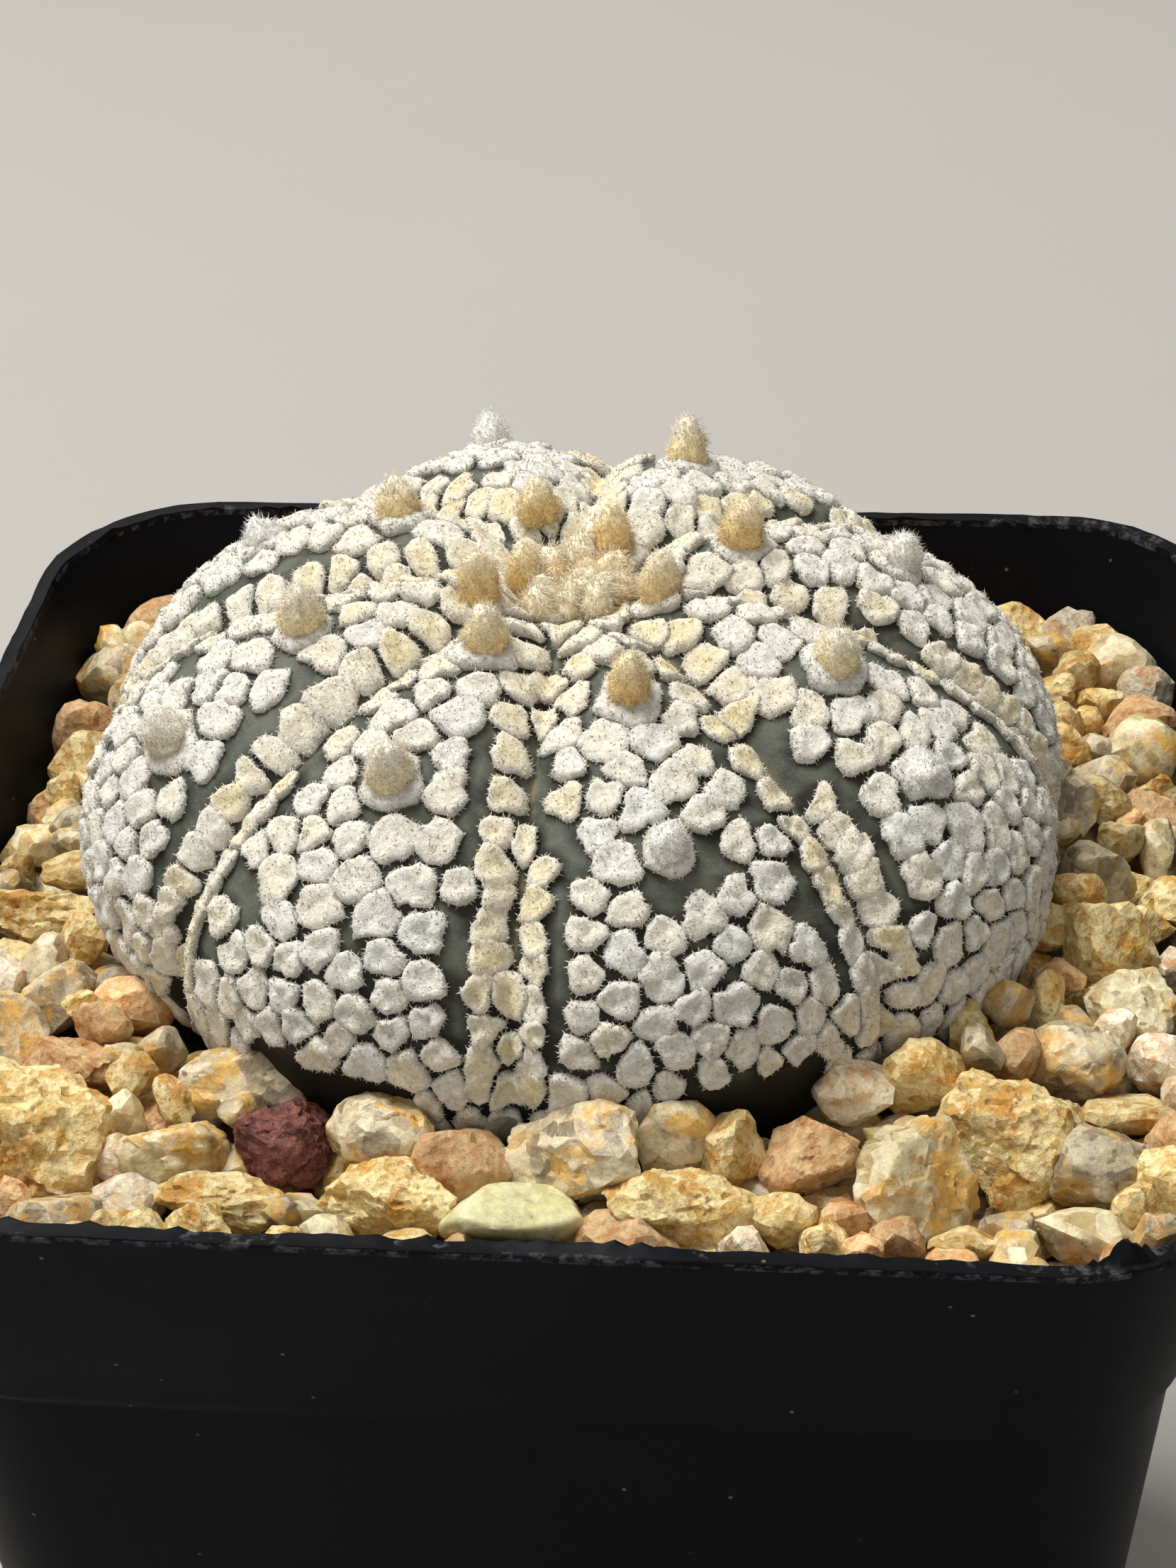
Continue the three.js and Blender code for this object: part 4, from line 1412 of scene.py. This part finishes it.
@dataclass(frozen=True)
class Pot:
    """The square nursery pot: a tapered thin wall with a flared rim band, on a footed floor."""

    side: float = 75.0
    height: float = 70.0
    wall: float = 1.0
    corner_radius: float = 10.5
    corner_tightening: float = 0.45
    band_height: float = 13.7
    band_inset: float = 3.3
    step_height: float = 0.7
    body_inset: float = 3.9
    foot_inset: float = 10.0
    floor_underside: float = 1.6
    floor_top: float = 3.0
    foot_ring_width: float = 2.6
    centre_pad_radius: float = 7.0
    foot_gap_width: float = 20.0
    gap_bite: float = 0.03
    sliver: float = 0.002
    drain_radius: float = 3.1
    drain_offset: float = 16.5
    corner_steps: int = 18
    side_steps: int = 76
    flash: float = 0.11
    burr: tuple[float, float] = (1556.0, 1752.0)
    burr_height: float = 1.15
    burr_width: float = 1.5
    teeth: tuple[float, ...] = (
        0.0, 0.2, 0.1, 0.34, 0.3, 0.62, 0.5, 0.95, 1.0, 0.64, 0.7, 0.3, 0.38, 0.16, 0.0
    )
    seed: int = 3

    def reach(self, inset: Array | float, phi: Array) -> Array:
        """Gives the outline's distance from the axis at azimuths, leaning in by an inset.

        Args:
            inset: How far the outline is inside the rim's outer edge.
            phi: Azimuths.

        Returns:
            The distances.
        """
        half = self.side / 2 - inset
        radius = np.maximum(self.corner_radius - self.corner_tightening * inset, 1.0)
        corner = half - radius
        x = np.abs(np.cos(phi))
        y = np.abs(np.sin(phi))
        flat = half / np.maximum(x, y)
        along = corner * (x + y)
        rounded = along + np.sqrt(np.clip(radius**2 - 2 * corner**2 + along**2, 0.0, None))
        return np.where(flat * np.minimum(x, y) <= corner, flat, rounded)

    def burr_turn(self) -> tuple[float, float]:
        """Gives the azimuth of the torn burr that the photograph shows, and its distance from the axis."""
        camera = PhotoCamera()
        ray = camera.ray(*self.burr)
        place = np.array(camera.place) + ray * (camera.place[2] - self.height) / -ray[2]
        middle = math.atan2(place[1], place[0]) % math.tau
        return middle, float(self.reach(self.wall, np.array(middle)))

    def azimuths(self) -> Array:
        """Gives azimuths that are close together round the corners and at the burr."""
        corner = self.side / 2 - self.corner_radius
        arc = np.linspace(0.0, math.pi / 2, self.corner_steps + 1)
        x = corner + self.corner_radius * np.cos(arc)
        first = np.arctan2(corner + self.corner_radius * np.sin(arc), x)
        edge = np.linspace(first[-1], math.pi - first[-1], self.side_steps + 1)[1:-1]
        quarter = np.concatenate([first, edge])
        regular = np.concatenate([quarter + k * math.pi / 2 for k in range(4)]) % math.tau
        middle, far = self.burr_turn()
        width = self.burr_width / far
        close = middle + width * np.linspace(-1.0, 1.0, len(self.teeth))
        return np.sort(np.concatenate([regular[np.abs(regular - middle) > 1.1 * width], close]))

    def lean_in(self, level: float) -> float:
        """Gives the outer wall's inset at a height under the band."""
        step_foot = self.height - self.band_height - self.step_height
        return self.foot_inset - (self.foot_inset - self.body_inset) * level / step_foot

    def profile(self) -> list[tuple[float, float]]:
        """Gives the wall's section as insets and heights, from under the floor round to its top."""
        band_foot = self.height - self.band_height
        step_foot = band_foot - self.step_height
        top, under = self.height, self.floor_underside
        ring = self.foot_inset + self.foot_ring_width
        band, body, foot, wall = self.band_inset, self.body_inset, self.foot_inset, self.wall

        def band_rows(inset: float, shares: Array) -> list[tuple[float, float]]:
            """Gives points of the flared band, at shares of its height."""
            tall = self.band_height
            return [(inset + band * (1 - share), band_foot + share * tall) for share in shares]

        return [
            (ring + 8.0, under), (ring + 0.25, under), (ring, under - 0.25), (ring, 0.15),
            (ring - 0.15, 0.0), (foot + 0.45, 0.0), (foot + 0.12, 0.1), (self.lean_in(0.45), 0.45),
            *((self.lean_in(z), z) for z in np.linspace(6.0, step_foot - 1.2, 9)),
            (body + 0.03, step_foot - 0.3), (body, step_foot), (body - 0.12, step_foot + 0.12),
            (band + 0.12, band_foot - 0.28), (band, band_foot), (band - 0.05, band_foot + 0.3),
            *band_rows(0.0, np.linspace(0.15, 0.93, 6)),
            (0.06, top - 0.25), (0.0, top - 0.12), (0.06, top), (0.3, top - 0.02),
            (0.72, top - 0.02), (0.95, top - 0.01), (1.02, top - 0.15), (1.06, top - 0.5),
            *band_rows(wall, np.linspace(0.93, 0.0, 8)),
            (wall + body, step_foot),
            *((wall + self.lean_in(z), z) for z in np.linspace(step_foot - 5, 6.0, 6)),
            (wall + self.lean_in(4.0) + 0.1, 4.0), (wall + self.lean_in(3.0) + 0.9, 3.1),
            (foot + 3.0, self.floor_top), (foot + 10.0, self.floor_top),
        ]

    def shell(self) -> Object:
        """Lofts the wall and floor as one closed mesh, with a ragged flash and the burr on its rim."""
        phi = self.azimuths()
        count = len(phi)
        rng = np.random.default_rng(self.seed)
        ragged = rng.standard_normal(count)
        drawn = ((ragged, [0.25, 0.5, 0.25]), (rng.standard_normal(count), np.ones(9) / 3))
        wave, slow = (np.convolve(np.tile(row, 3), part, "same")[count : 2 * count] for row, part in drawn)
        middle, far = self.burr_turn()
        away = (phi - middle) * far / self.burr_width
        spike = self.burr_height * np.interp(away, np.linspace(-1.0, 1.0, len(self.teeth)), self.teeth)
        rows = []
        for inset, level in self.profile():
            rim = float(smoothstep(self.height - 0.3, self.height - 0.05, level))
            inner = rim * float(smoothstep(0.2, 0.8, inset))
            r = self.reach(inset, phi) - self.flash * rim * np.clip(np.abs(wave), 0.0, 1.5)
            z = level - rim * self.flash * np.clip(0.5 * np.abs(slow), 0.0, 1.0)
            z = z + inner * (self.flash * (np.clip(ragged, 0.0, 2.0) ** 1.5 + 0.8 * slow) + spike)
            rows.append(polar(r, phi, z))
        ends = [[0.0, 0.0, self.floor_underside], [0.0, 0.0, self.floor_top]]
        faces = loft_faces(len(rows), count, flip=True)
        return mesh_object("pot_shell", np.concatenate([*rows, ends]), faces)

    def drum(self, radius: float, low: float, high: float, middle: tuple[float, float]) -> Object:
        """Makes an upright round cutter or pad."""
        made = bmesh.new()
        place = Matrix.Translation(Vector((*middle, (low + high) / 2)) * MM)
        size = {"radius1": radius * MM, "radius2": radius * MM, "depth": (high - low) * MM}
        bmesh.ops.create_cone(made, cap_ends=True, segments=48, matrix=place, **size)
        return add_object("drum", take_mesh(made, "drum"))

    def foot_gap(self, quarter: int) -> Object:
        """Makes the box for the gaps between the feet along one axis, one box deeper than the other."""
        made = bmesh.new()
        tall = 2 * (self.floor_underside + self.gap_bite * (1 + quarter))
        size = Vector((self.side, self.foot_gap_width, tall)) * MM
        turned = Matrix.Rotation(quarter * math.pi / 2, 4, "Z") @ Matrix.Diagonal((*size, 1.0))
        bmesh.ops.create_cube(made, size=1.0, matrix=turned)
        return add_object("foot_gap", take_mesh(made, "foot_gap"))

    def cut(self, solid: Object, tools: Sequence[Object], way: str) -> Object:
        """Cuts tools from a solid, or joins them to it, and removes them.

        Args:
            solid: The solid.
            tools: The cutters or the solids to join.
            way: DIFFERENCE or UNION.

        Returns:
            The new solid.
        """
        for tool in tools:
            modifier = solid.modifiers.new(tool.name, "BOOLEAN")
            modifier.operation = way
            modifier.solver = "EXACT"
            modifier.object = tool
        made = baked(solid, "moulded_pot")
        for tool in tools:
            remove_object(tool)
        return made

    def mend(self, mesh: Mesh) -> None:
        """Takes out the slivers that cutting leaves along its edges."""
        made = bmesh.new()
        made.from_mesh(mesh)
        bmesh.ops.triangulate(made, faces=[face for face in made.faces if len(face.verts) > 4])
        bmesh.ops.dissolve_degenerate(made, dist=self.sliver * MM, edges=made.edges)
        made.to_mesh(mesh)
        made.free()

    def build(self, material: Material) -> Object:
        """Builds the pot with its drains and the gaps between its feet.

        Args:
            material: The plastic's finish.

        Returns:
            The piece that stands for the pot solid.
        """
        solid = self.cut(self.shell(), [self.foot_gap(quarter) for quarter in range(2)], "DIFFERENCE")
        pad = self.drum(self.centre_pad_radius, 0.0, self.floor_underside + 0.5, (0.0, 0.0))
        solid = self.cut(solid, [pad], "UNION")
        far = self.drain_offset * math.sqrt(2)
        turns = [math.pi / 4 + corner * math.pi / 2 for corner in range(4)]
        middles = [(far * math.cos(turn), far * math.sin(turn)) for turn in turns]
        drains = [self.drum(self.drain_radius, -1.0, 6.0, middle) for middle in middles]
        solid = self.cut(solid, drains, "DIFFERENCE")
        self.mend(solid.data)
        solid.data.set_sharp_from_angle(angle=math.radians(40))
        return finish_piece(solid, material, ("pot",))


@dataclass(frozen=True)
class GravelLevel:
    """The gravel's mean surface: mounded to the body and higher at the front."""

    form: BodyForm
    level: float = 64.8
    mound: float = 2.6
    mound_reach: float = 9.0
    front_rise: float = 2.3
    front_reach: float = 30.0

    def height(self, x: Array, y: Array) -> Array:
        """Gives the surface's height at places in the pot."""
        cx, cy = self.form.centre
        from_body = np.hypot(x - cx, y - cy) - self.form.equator_radius
        mound = self.mound * (1 - smoothstep(0.0, self.mound_reach, from_body))
        return self.level + mound + self.front_rise * smoothstep(0.0, self.front_reach, -y)

    def body_reach(self, z: Array) -> Array:
        """Gives the body's radius at heights under its equator."""
        drop = np.clip((self.form.equator_level - z) / self.form.base_depth, 0.0, 1.0)
        return self.form.equator_radius * np.sqrt(1 - drop**2)


@dataclass
class Grains:
    """Loose grains, as arrays with one row for each grain."""

    places: Array
    turns: Array
    sizes: Array
    tones: Array
    shapes: Array
    kinds: Array

    def spans(self) -> Array:
        """Gives how far each grain reaches along x, y and z."""
        turned = [np.array(Euler(turn).to_matrix()) * size for turn, size in zip(self.turns, self.sizes)]
        return np.sqrt((np.array(turned) ** 2).sum(axis=2))

    def join(self, other: "Grains") -> "Grains":
        """Gives these grains and others as one."""
        pairs = ((getattr(self, row.name), getattr(other, row.name)) for row in fields(self))
        return Grains(*(np.concatenate(pair) for pair in pairs))


@dataclass(frozen=True)
class Layer:
    """One layer of scattered grains: its depth, their number, and their least and largest radius."""

    depth: float
    grains: int
    smallest: float
    largest: float


@dataclass
class GravelBed:
    """The gravel: fines below, loose grains of several kinds above."""

    pot: Pot
    level: GravelLevel
    camera: PhotoCamera
    fine_shapes: int = 3
    coarse_shapes: int = 9
    flats: int = 12
    large_pixels: float = 118.0
    key_depth: float = 1.1
    key_size: float = 1.1
    layers: tuple[Layer, ...] = (Layer(0.6, 180, 1.0, 2.7), Layer(3.7, 170, 1.7, 3.0))
    tries: int = 20000
    scatter_half: float = 35.5
    closeness: float = 0.86
    swelling: float = 1.24
    kinds: tuple[StoneKind, ...] = (PUMICE, QUARTZ, CLAY, CREAM, CHALK)
    shares: tuple[float, ...] = (0.42, 0.22, 0.16, 0.12, 0.08)
    wall_lean: float = 0.24
    fines_around: int = 96
    fines_depth: float = 4.2
    # Painted shade: a low tone that darkens the fines further.
    fines_tone: float = 0.2
    bowl_radii: tuple[float, ...] = (3.0, 6.0, 8.0, 8.3, 11.0, 14.0, 17.0, 20.0, 22.0, 24.0)
    root_hole: float = 8.2
    hole_floor: float = 34.0
    fines_foot: float = 3.4
    seed: int = 23

    def shape(self, kind: StoneKind, number: int, fine: bool) -> Object:
        """Makes one grain a unit in radius: broken flats, worn edges and the kind's own texture.

        Args:
            kind: The kind of grain, which sets how sharp and how crumbly it is.
            number: Which of the kind's shapes it is.
            fine: Whether it has the faces for a large grain.

        Returns:
            The grain's object, not yet linked to a collection.
        """
        rng = np.random.default_rng(1000 + 37 * list(StoneKind).index(kind) + number)
        made = bmesh.new()
        bmesh.ops.create_icosphere(made, subdivisions=5 if fine else 3, radius=1.0)
        flats = rng.standard_normal((self.flats, 3))
        flats /= np.linalg.norm(flats, axis=1, keepdims=True)
        reach = 0.62 + 0.34 * rng.random(self.flats)
        worn = kind is GREEN
        crumbly = kind in (PUMICE, LAVA)
        power = 20.0 if worn else 80.0
        chip_size, chip_tilt, roughness = (2.2, 0.34, 0.085) if crumbly else (1.5, 0.26, 0.04)
        shift = Vector(rng.standard_normal(3) * 20)
        for vertex in made.verts:
            facing = np.clip(flats @ np.array(vertex.co), 0.0, None) / reach
            r = float(((facing**power).sum() + 0.88**power) ** (-1 / power))
            at = vertex.co * r * 1.5 + shift
            r += roughness * noise.fractal(at, 0.6, 2.1, 6)
            if not worn:
                for size, tilt in ((chip_size, chip_tilt), (2.6 * chip_size, chip_tilt / 2.2)):
                    chip = at * size
                    middle = noise.voronoi(chip)[1][0]
                    r += tilt / size * (chip - middle).dot(noise.noise_vector(middle * 5.3))
            if crumbly:
                pit = noise.voronoi(at * 1.6 + shift)[0][0]
                r -= 0.13 * max(0.0, 1.0 - pit / 0.3)
            vertex.co = vertex.co * r
        mesh = take_mesh(made, f"{kind.value}_{'a' if fine else 'b'}{number}")
        mesh.shade_smooth()
        mesh.set_sharp_from_angle(angle=math.radians(30))
        return bpy.data.objects.new(mesh.name, mesh)

    def on_surface(self, stone: KeyStone) -> tuple[Array, float]:
        """Gives where a pixel's ray meets the gravel, and the depth there.

        Args:
            stone: The grain whose pixel it is.

        Returns:
            The place and its depth in front of the camera.
        """
        ray = self.camera.ray(stone.across, stone.down)
        eye = np.array(self.camera.place)
        point = eye + ray * (eye[2] - self.level.level) / -ray[2]
        for _ in range(8):
            target = float(self.level.height(point[0], point[1])) - self.key_depth
            depth = (eye[2] - target) / -ray[2]
            point = eye + ray * depth
        return point, depth

    def key_grains(self, rng: Generator) -> Grains:
        """Places the grains that the photograph shows clearly.

        Args:
            rng: Source of their depths, turns, shapes and tones.

        Returns:
            The grains, in the order of their table.
        """
        facing = Matrix(self.camera.axes()).transposed()
        places, turns, sizes = [], [], []
        for stone in KEY_STONES:
            point, depth = self.on_surface(stone)
            scale = depth / self.camera.focal_pixels / 2
            wide, tall = stone.wide * scale, stone.tall * scale
            deep = 0.5 * (wide + tall) * (0.8 + 0.3 * rng.random())
            roll = Euler((0.25 * rng.standard_normal(), 0.25 * rng.standard_normal(), 0.0))
            places.append(point)
            turns.append(np.array((facing @ roll.to_matrix()).to_euler()))
            sizes.append(np.array([wide, tall, deep]) * self.key_size)
        count = len(KEY_STONES)
        large = np.array([stone.wide + stone.tall > 2 * self.large_pixels for stone in KEY_STONES])
        coarse = self.fine_shapes + rng.integers(0, self.coarse_shapes, count)
        shapes = np.where(large, rng.integers(0, self.fine_shapes, count), coarse)
        kinds = np.array([stone.kind for stone in KEY_STONES])
        return Grains(np.array(places), np.array(turns), np.array(sizes), rng.random(count), shapes, kinds)

    def fill_grains(self, keyed: Grains, rng: Generator) -> Grains:
        """Scatters the other grains round and under those placed first, in an upper and a lower layer.

        Args:
            keyed: The grains placed first.
            rng: Source of everything that differs from grain to grain.

        Returns:
            The grains that were added.
        """
        places = list(keyed.places)
        radii = list(keyed.sizes.mean(axis=1))
        first = len(places)
        mix = rng.choice(list(self.kinds), p=list(self.shares), size=3 * self.tries)
        cx, cy = self.level.form.centre
        for layer in self.layers:
            most = len(places) + layer.grains
            for _ in range(self.tries):
                if len(places) >= most:
                    break
                x, y = self.scatter_half * (2 * rng.random(2) - 1)
                radius = layer.smallest + (layer.largest - layer.smallest) * rng.random() ** 1.3
                z = float(self.level.height(x, y)) - layer.depth - 0.45 * radius + 0.9 * rng.random()
                inset = self.pot.wall + 0.3 + self.wall_lean * (self.pot.height - z)
                crevice = float(self.level.body_reach(np.array(z))) + 1.05 * radius + 0.5
                outside = math.hypot(x, y) + 0.85 * radius > self.pot.reach(inset, math.atan2(y, x))
                if outside or math.hypot(x - cx, y - cy) < crevice:
                    continue
                away = np.linalg.norm(np.array(places) - (x, y, z), axis=1)
                if np.any(away < self.closeness * (np.array(radii) + radius)):
                    continue
                places.append(np.array([x, y, z]))
                radii.append(radius)
        made = np.array(radii[first:])
        count = len(made)
        stretch = 0.78 + 0.42 * rng.random((count, 3))
        turns = math.tau * rng.random((count, 3))
        shapes = self.fine_shapes + rng.integers(0, self.coarse_shapes, count)
        sizes = self.swelling * made[:, None] * stretch
        return Grains(np.array(places[first:]), turns, sizes, rng.random(count), shapes, mix[:count])

    def keep_inside(self, grains: Grains) -> None:
        """Moves grains that would pass through the pot's wall inwards.

        Args:
            grains: The grains, whose places are changed.
        """
        spans = grains.spans()
        inset = self.pot.wall + 0.2 + self.wall_lean * (self.pot.height - grains.places[:, 2])
        half = self.pot.side / 2 - inset
        for axis in (0, 1):
            room = np.maximum(half - 0.93 * spans[:, axis], 0.0)
            grains.places[:, axis] = np.clip(grains.places[:, axis], -room, room)
        x, y = grains.places[:, 0], grains.places[:, 1]
        wall = self.pot.reach(inset, np.arctan2(y, x))
        most = wall - 0.9 * np.hypot(spans[:, 0], spans[:, 1]) / math.sqrt(2)
        grains.places[:, :2] *= np.minimum(most / np.maximum(np.hypot(x, y), 0.001), 1.0)[:, None]

    def tree(self, name: str) -> NodeTree:
        """Builds the tree that puts a kind's shapes on its points.

        Args:
            name: The tree's name.

        Returns:
            The tree, whose points carry turn, size and shape.
        """
        sockets = {"Points": "Geometry", "Size": "Float", "Shapes": "Collection", "Material": "Material"}
        tree, add, given = start_tree(name, sockets, "Grains")
        turn, size, shape = (
            add(NAMED, {"Name": key}, "Attribute", data_type=kind)
            for key, kind in (("turn", "FLOAT_VECTOR"), ("size", "FLOAT_VECTOR"), ("shape", "INT"))
        )
        shelf = {"Collection": given["Shapes"], "Separate Children": True, "Reset Children": True}
        shapes = add("GeometryNodeCollectionInfo", shelf)
        sized = add(VECTOR_MATH, {0: size, "Scale": given["Size"]}, operation="SCALE")
        laid = {"Points": given["Points"], "Rotation": turn, "Scale": sized}
        picked = {"Instance": shapes, "Pick Instance": True, "Instance Index": shape}
        placed = add("GeometryNodeInstanceOnPoints", {**laid, **picked})
        end_tree(add, placed, given["Material"])
        return tree

    def build_kind(self, grains: Grains, kind: StoneKind) -> Object:
        """Builds all the grains of one kind as one piece.

        Args:
            grains: Every loose grain.
            kind: The kind to build.

        Returns:
            The piece.
        """
        own = np.array([i for i, other in enumerate(grains.kinds) if other is kind])
        name = "grains_" + kind.value
        shelf = bpy.data.collections.new("shapes_" + kind.value)
        bpy.context.scene.collection.children.link(shelf)
        count = self.fine_shapes + self.coarse_shapes
        shapes = [self.shape(kind, i, i < self.fine_shapes) for i in range(count)]
        for shape in shapes:
            shelf.objects.link(shape)
        parts = {"tone": grains.tones, "turn": grains.turns, "size": grains.sizes, "shape": grains.shapes}
        values = {key: rows[own] for key, rows in parts.items()}
        points = mesh_object("points", grains.places[own], [], values)
        material = STONE_FINISHES[kind].material()
        run_tree(points, self.tree(name), {"Size": MM, "Shapes": shelf, "Material": material})
        piece = baked(points, name)
        for shape in shapes:
            remove_object(shape)
        bpy.data.collections.remove(shelf)
        return finish_piece(piece, None)

    def build_fines(self, material: Material) -> Object:
        """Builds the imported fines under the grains, with a bowl where the body sits.

        Args:
            material: The fines' finish.

        Returns:
            The piece that stands for the gravel solid.
        """
        form = self.level.form
        phi = np.linspace(0.0, math.tau, self.fines_around, endpoint=False)
        rows = [polar(r, phi, 0.0)[:, :2] + form.centre for r in self.bowl_radii]
        edge = polar(self.pot.reach(self.pot.wall + 1.9, phi), phi, 0.0)[:, :2]
        rows += [rows[-1] * (1 - share) + edge * share for share in np.linspace(0.12, 1.0, 12)]
        flat = np.array(rows)
        x, y = flat[..., 0], flat[..., 1]
        r = np.hypot(x - form.centre[0], y - form.centre[1])
        drop = np.sqrt(np.clip(1 - (r / form.equator_radius) ** 2, 0.0, 1.0))
        under = form.equator_level - form.base_depth * drop - 1.2
        z = np.minimum(self.level.height(x, y) - self.fines_depth, under)
        z = np.where(r < self.root_hole, self.hole_floor, z)
        rng = np.random.default_rng(self.seed + 5)
        z = z + np.where(r > 9.0, 0.35 * rng.standard_normal(r.shape), 0.0)
        sides = [
            polar(self.pot.reach(self.pot.wall + 0.3 + self.pot.lean_in(level), phi), phi, level)
            for level in (50.0, 30.0, 10.0, self.fines_foot)
        ]
        ends = [[*form.centre, self.hole_floor], [0.0, 0.0, self.fines_foot]]
        points = np.concatenate([*np.dstack([x, y, z]), *sides, ends])
        faces = loft_faces(len(rows) + len(sides), self.fines_around)
        tones = {"tone": np.full(len(points), self.fines_tone)}
        piece = mesh_object("gravel_fines", points, faces, tones)
        return finish_piece(piece, material, ("gravel_bed",))

    def build(self) -> None:
        """Builds the fines and every kind of grain, with chips from noise of a fixed seed."""
        noise.seed_set(self.seed)
        rng = np.random.default_rng(self.seed)
        keyed = self.key_grains(rng)
        self.keep_inside(keyed)
        other = self.fill_grains(keyed, rng)
        self.keep_inside(other)
        every = keyed.join(other)
        LOG.info("grains: %d", len(every.kinds))
        for kind in StoneKind:
            self.build_kind(every, kind)
        self.build_fines(SHADED_FINES_FINISH.material())


@dataclass(frozen=True)
class Lamp:
    """One square soft light: its name, its place and width in metres, and its power in watts."""

    name: str
    place: tuple[float, float, float]
    size: float
    power: float

    def make(self, aim: Vector) -> None:
        """Adds the light, turned to look at a point."""
        data = bpy.data.lights.new(self.name, "AREA")
        data.size = self.size
        data.energy = self.power
        lamp = add_object(self.name, data)
        lamp.location = self.place
        lamp.rotation_euler = (Vector(self.place) - aim).to_track_quat("Z", "Y").to_euler()


@dataclass(frozen=True)
class Studio:
    """A pale floor and soft lights above and in front."""

    floor_colour: str = "#A8A49D"
    floor_size: float = 6000.0
    floor_level: float = -0.05
    mottle_mm: float = 60.0
    mottle: float = 1.05
    lamps: tuple[Lamp, ...] = (
        Lamp("key_light", (-0.26, 0.14, 0.8), 0.36, 8.0),
        Lamp("fill_light", (-0.15, -0.8, 0.5), 0.6, 1.25),
        Lamp("back_light", (-0.5, 1.0, 0.65), 0.5, 1.3),
    )
    aim: tuple[float, float, float] = (0.0, 0.0, 0.07)
    sky: float = 0.36
    sky_tone: tuple[float, ...] = (1.0, 0.99, 0.97, 1.0)

    def floor(self) -> None:
        """Makes the floor, a hair under the pot, of painted board: matt, with a faint mottle."""
        half = self.floor_size / 2
        ways = ((-1, -1), (1, -1), (1, 1), (-1, 1))
        corners = [(x * half, y * half, self.floor_level) for x, y in ways]
        board = mesh_object("floor", np.array(corners), [(0, 1, 2, 3)])
        material, add, place = start_material("Painted board, pale warm grey")
        mottle = add(NOISE, {"Vector": place, "Scale": per_metre(self.mottle_mm), "Detail": 3.0})
        low = linear(self.floor_colour)
        high = (*(min(1.0, self.mottle * value) for value in low[:3]), 1.0)
        colour = add(MIX, {0: mottle, 6: low, 7: high}, 2, data_type="RGBA")
        board.data.materials.append(end_material(material, {"Base Color": colour, "Roughness": 0.9}))

    def build(self) -> None:
        """Builds the floor, the lights and the sky, and sets plain colour handling."""
        self.floor()
        for lamp in self.lamps:
            lamp.make(Vector(self.aim))
        world = bpy.data.worlds.new("studio")
        world.use_nodes = True
        feed(world.node_tree.nodes["Background"], {"Color": self.sky_tone, "Strength": self.sky})
        bpy.context.scene.world = world
        bpy.context.scene.view_settings.view_transform = "Standard"


def main() -> None:
    """Builds the pot, the gravel and the cactus, then the studio."""
    logging.basicConfig(level=logging.INFO, format="%(name)s %(message)s")
    camera = PhotoCamera()
    camera.make()
    pot = Pot()
    pot.build(PotFinish().material())
    form = BodyForm()
    GravelBed(pot, GravelLevel(form), camera).build()
    layout = CellLayout(form)
    cells = layout.make()
    LOG.info("cells: %d", len(cells.kinds))
    cactus = Cactus(layout, cells)
    wool, felt, apex_wool = (finish.material() for finish in (FLECK_WOOL, AREOLE_FELT, APEX_WOOL))
    cactus.build_skin(SkinFinish().material())
    flecks = cactus.build_flecks(wool)
    Fibres("fleck_fringe", 20.0, 0.27, 0.11, 0.85, 11).grow(flecks, wool)
    Fibres("fleck_nap", 5.5, 0.24, 0.09, 1.5, 14, where="nap").grow(flecks, wool)
    lumps = WoolLumps(form, cells)
    tufts = lumps.build_tufts(felt)
    Fibres("tuft_hairs", 50.0, 0.5, 0.055, 1.1, 12).grow(tufts, felt)
    apex = lumps.build_apex(apex_wool)
    Fibres("apex_hairs", 30.0, 0.7, 0.05, 1.0, 13, bent=True).grow(apex, apex_wool)
    Studio().build()


if __name__ == "__main__":
    main()
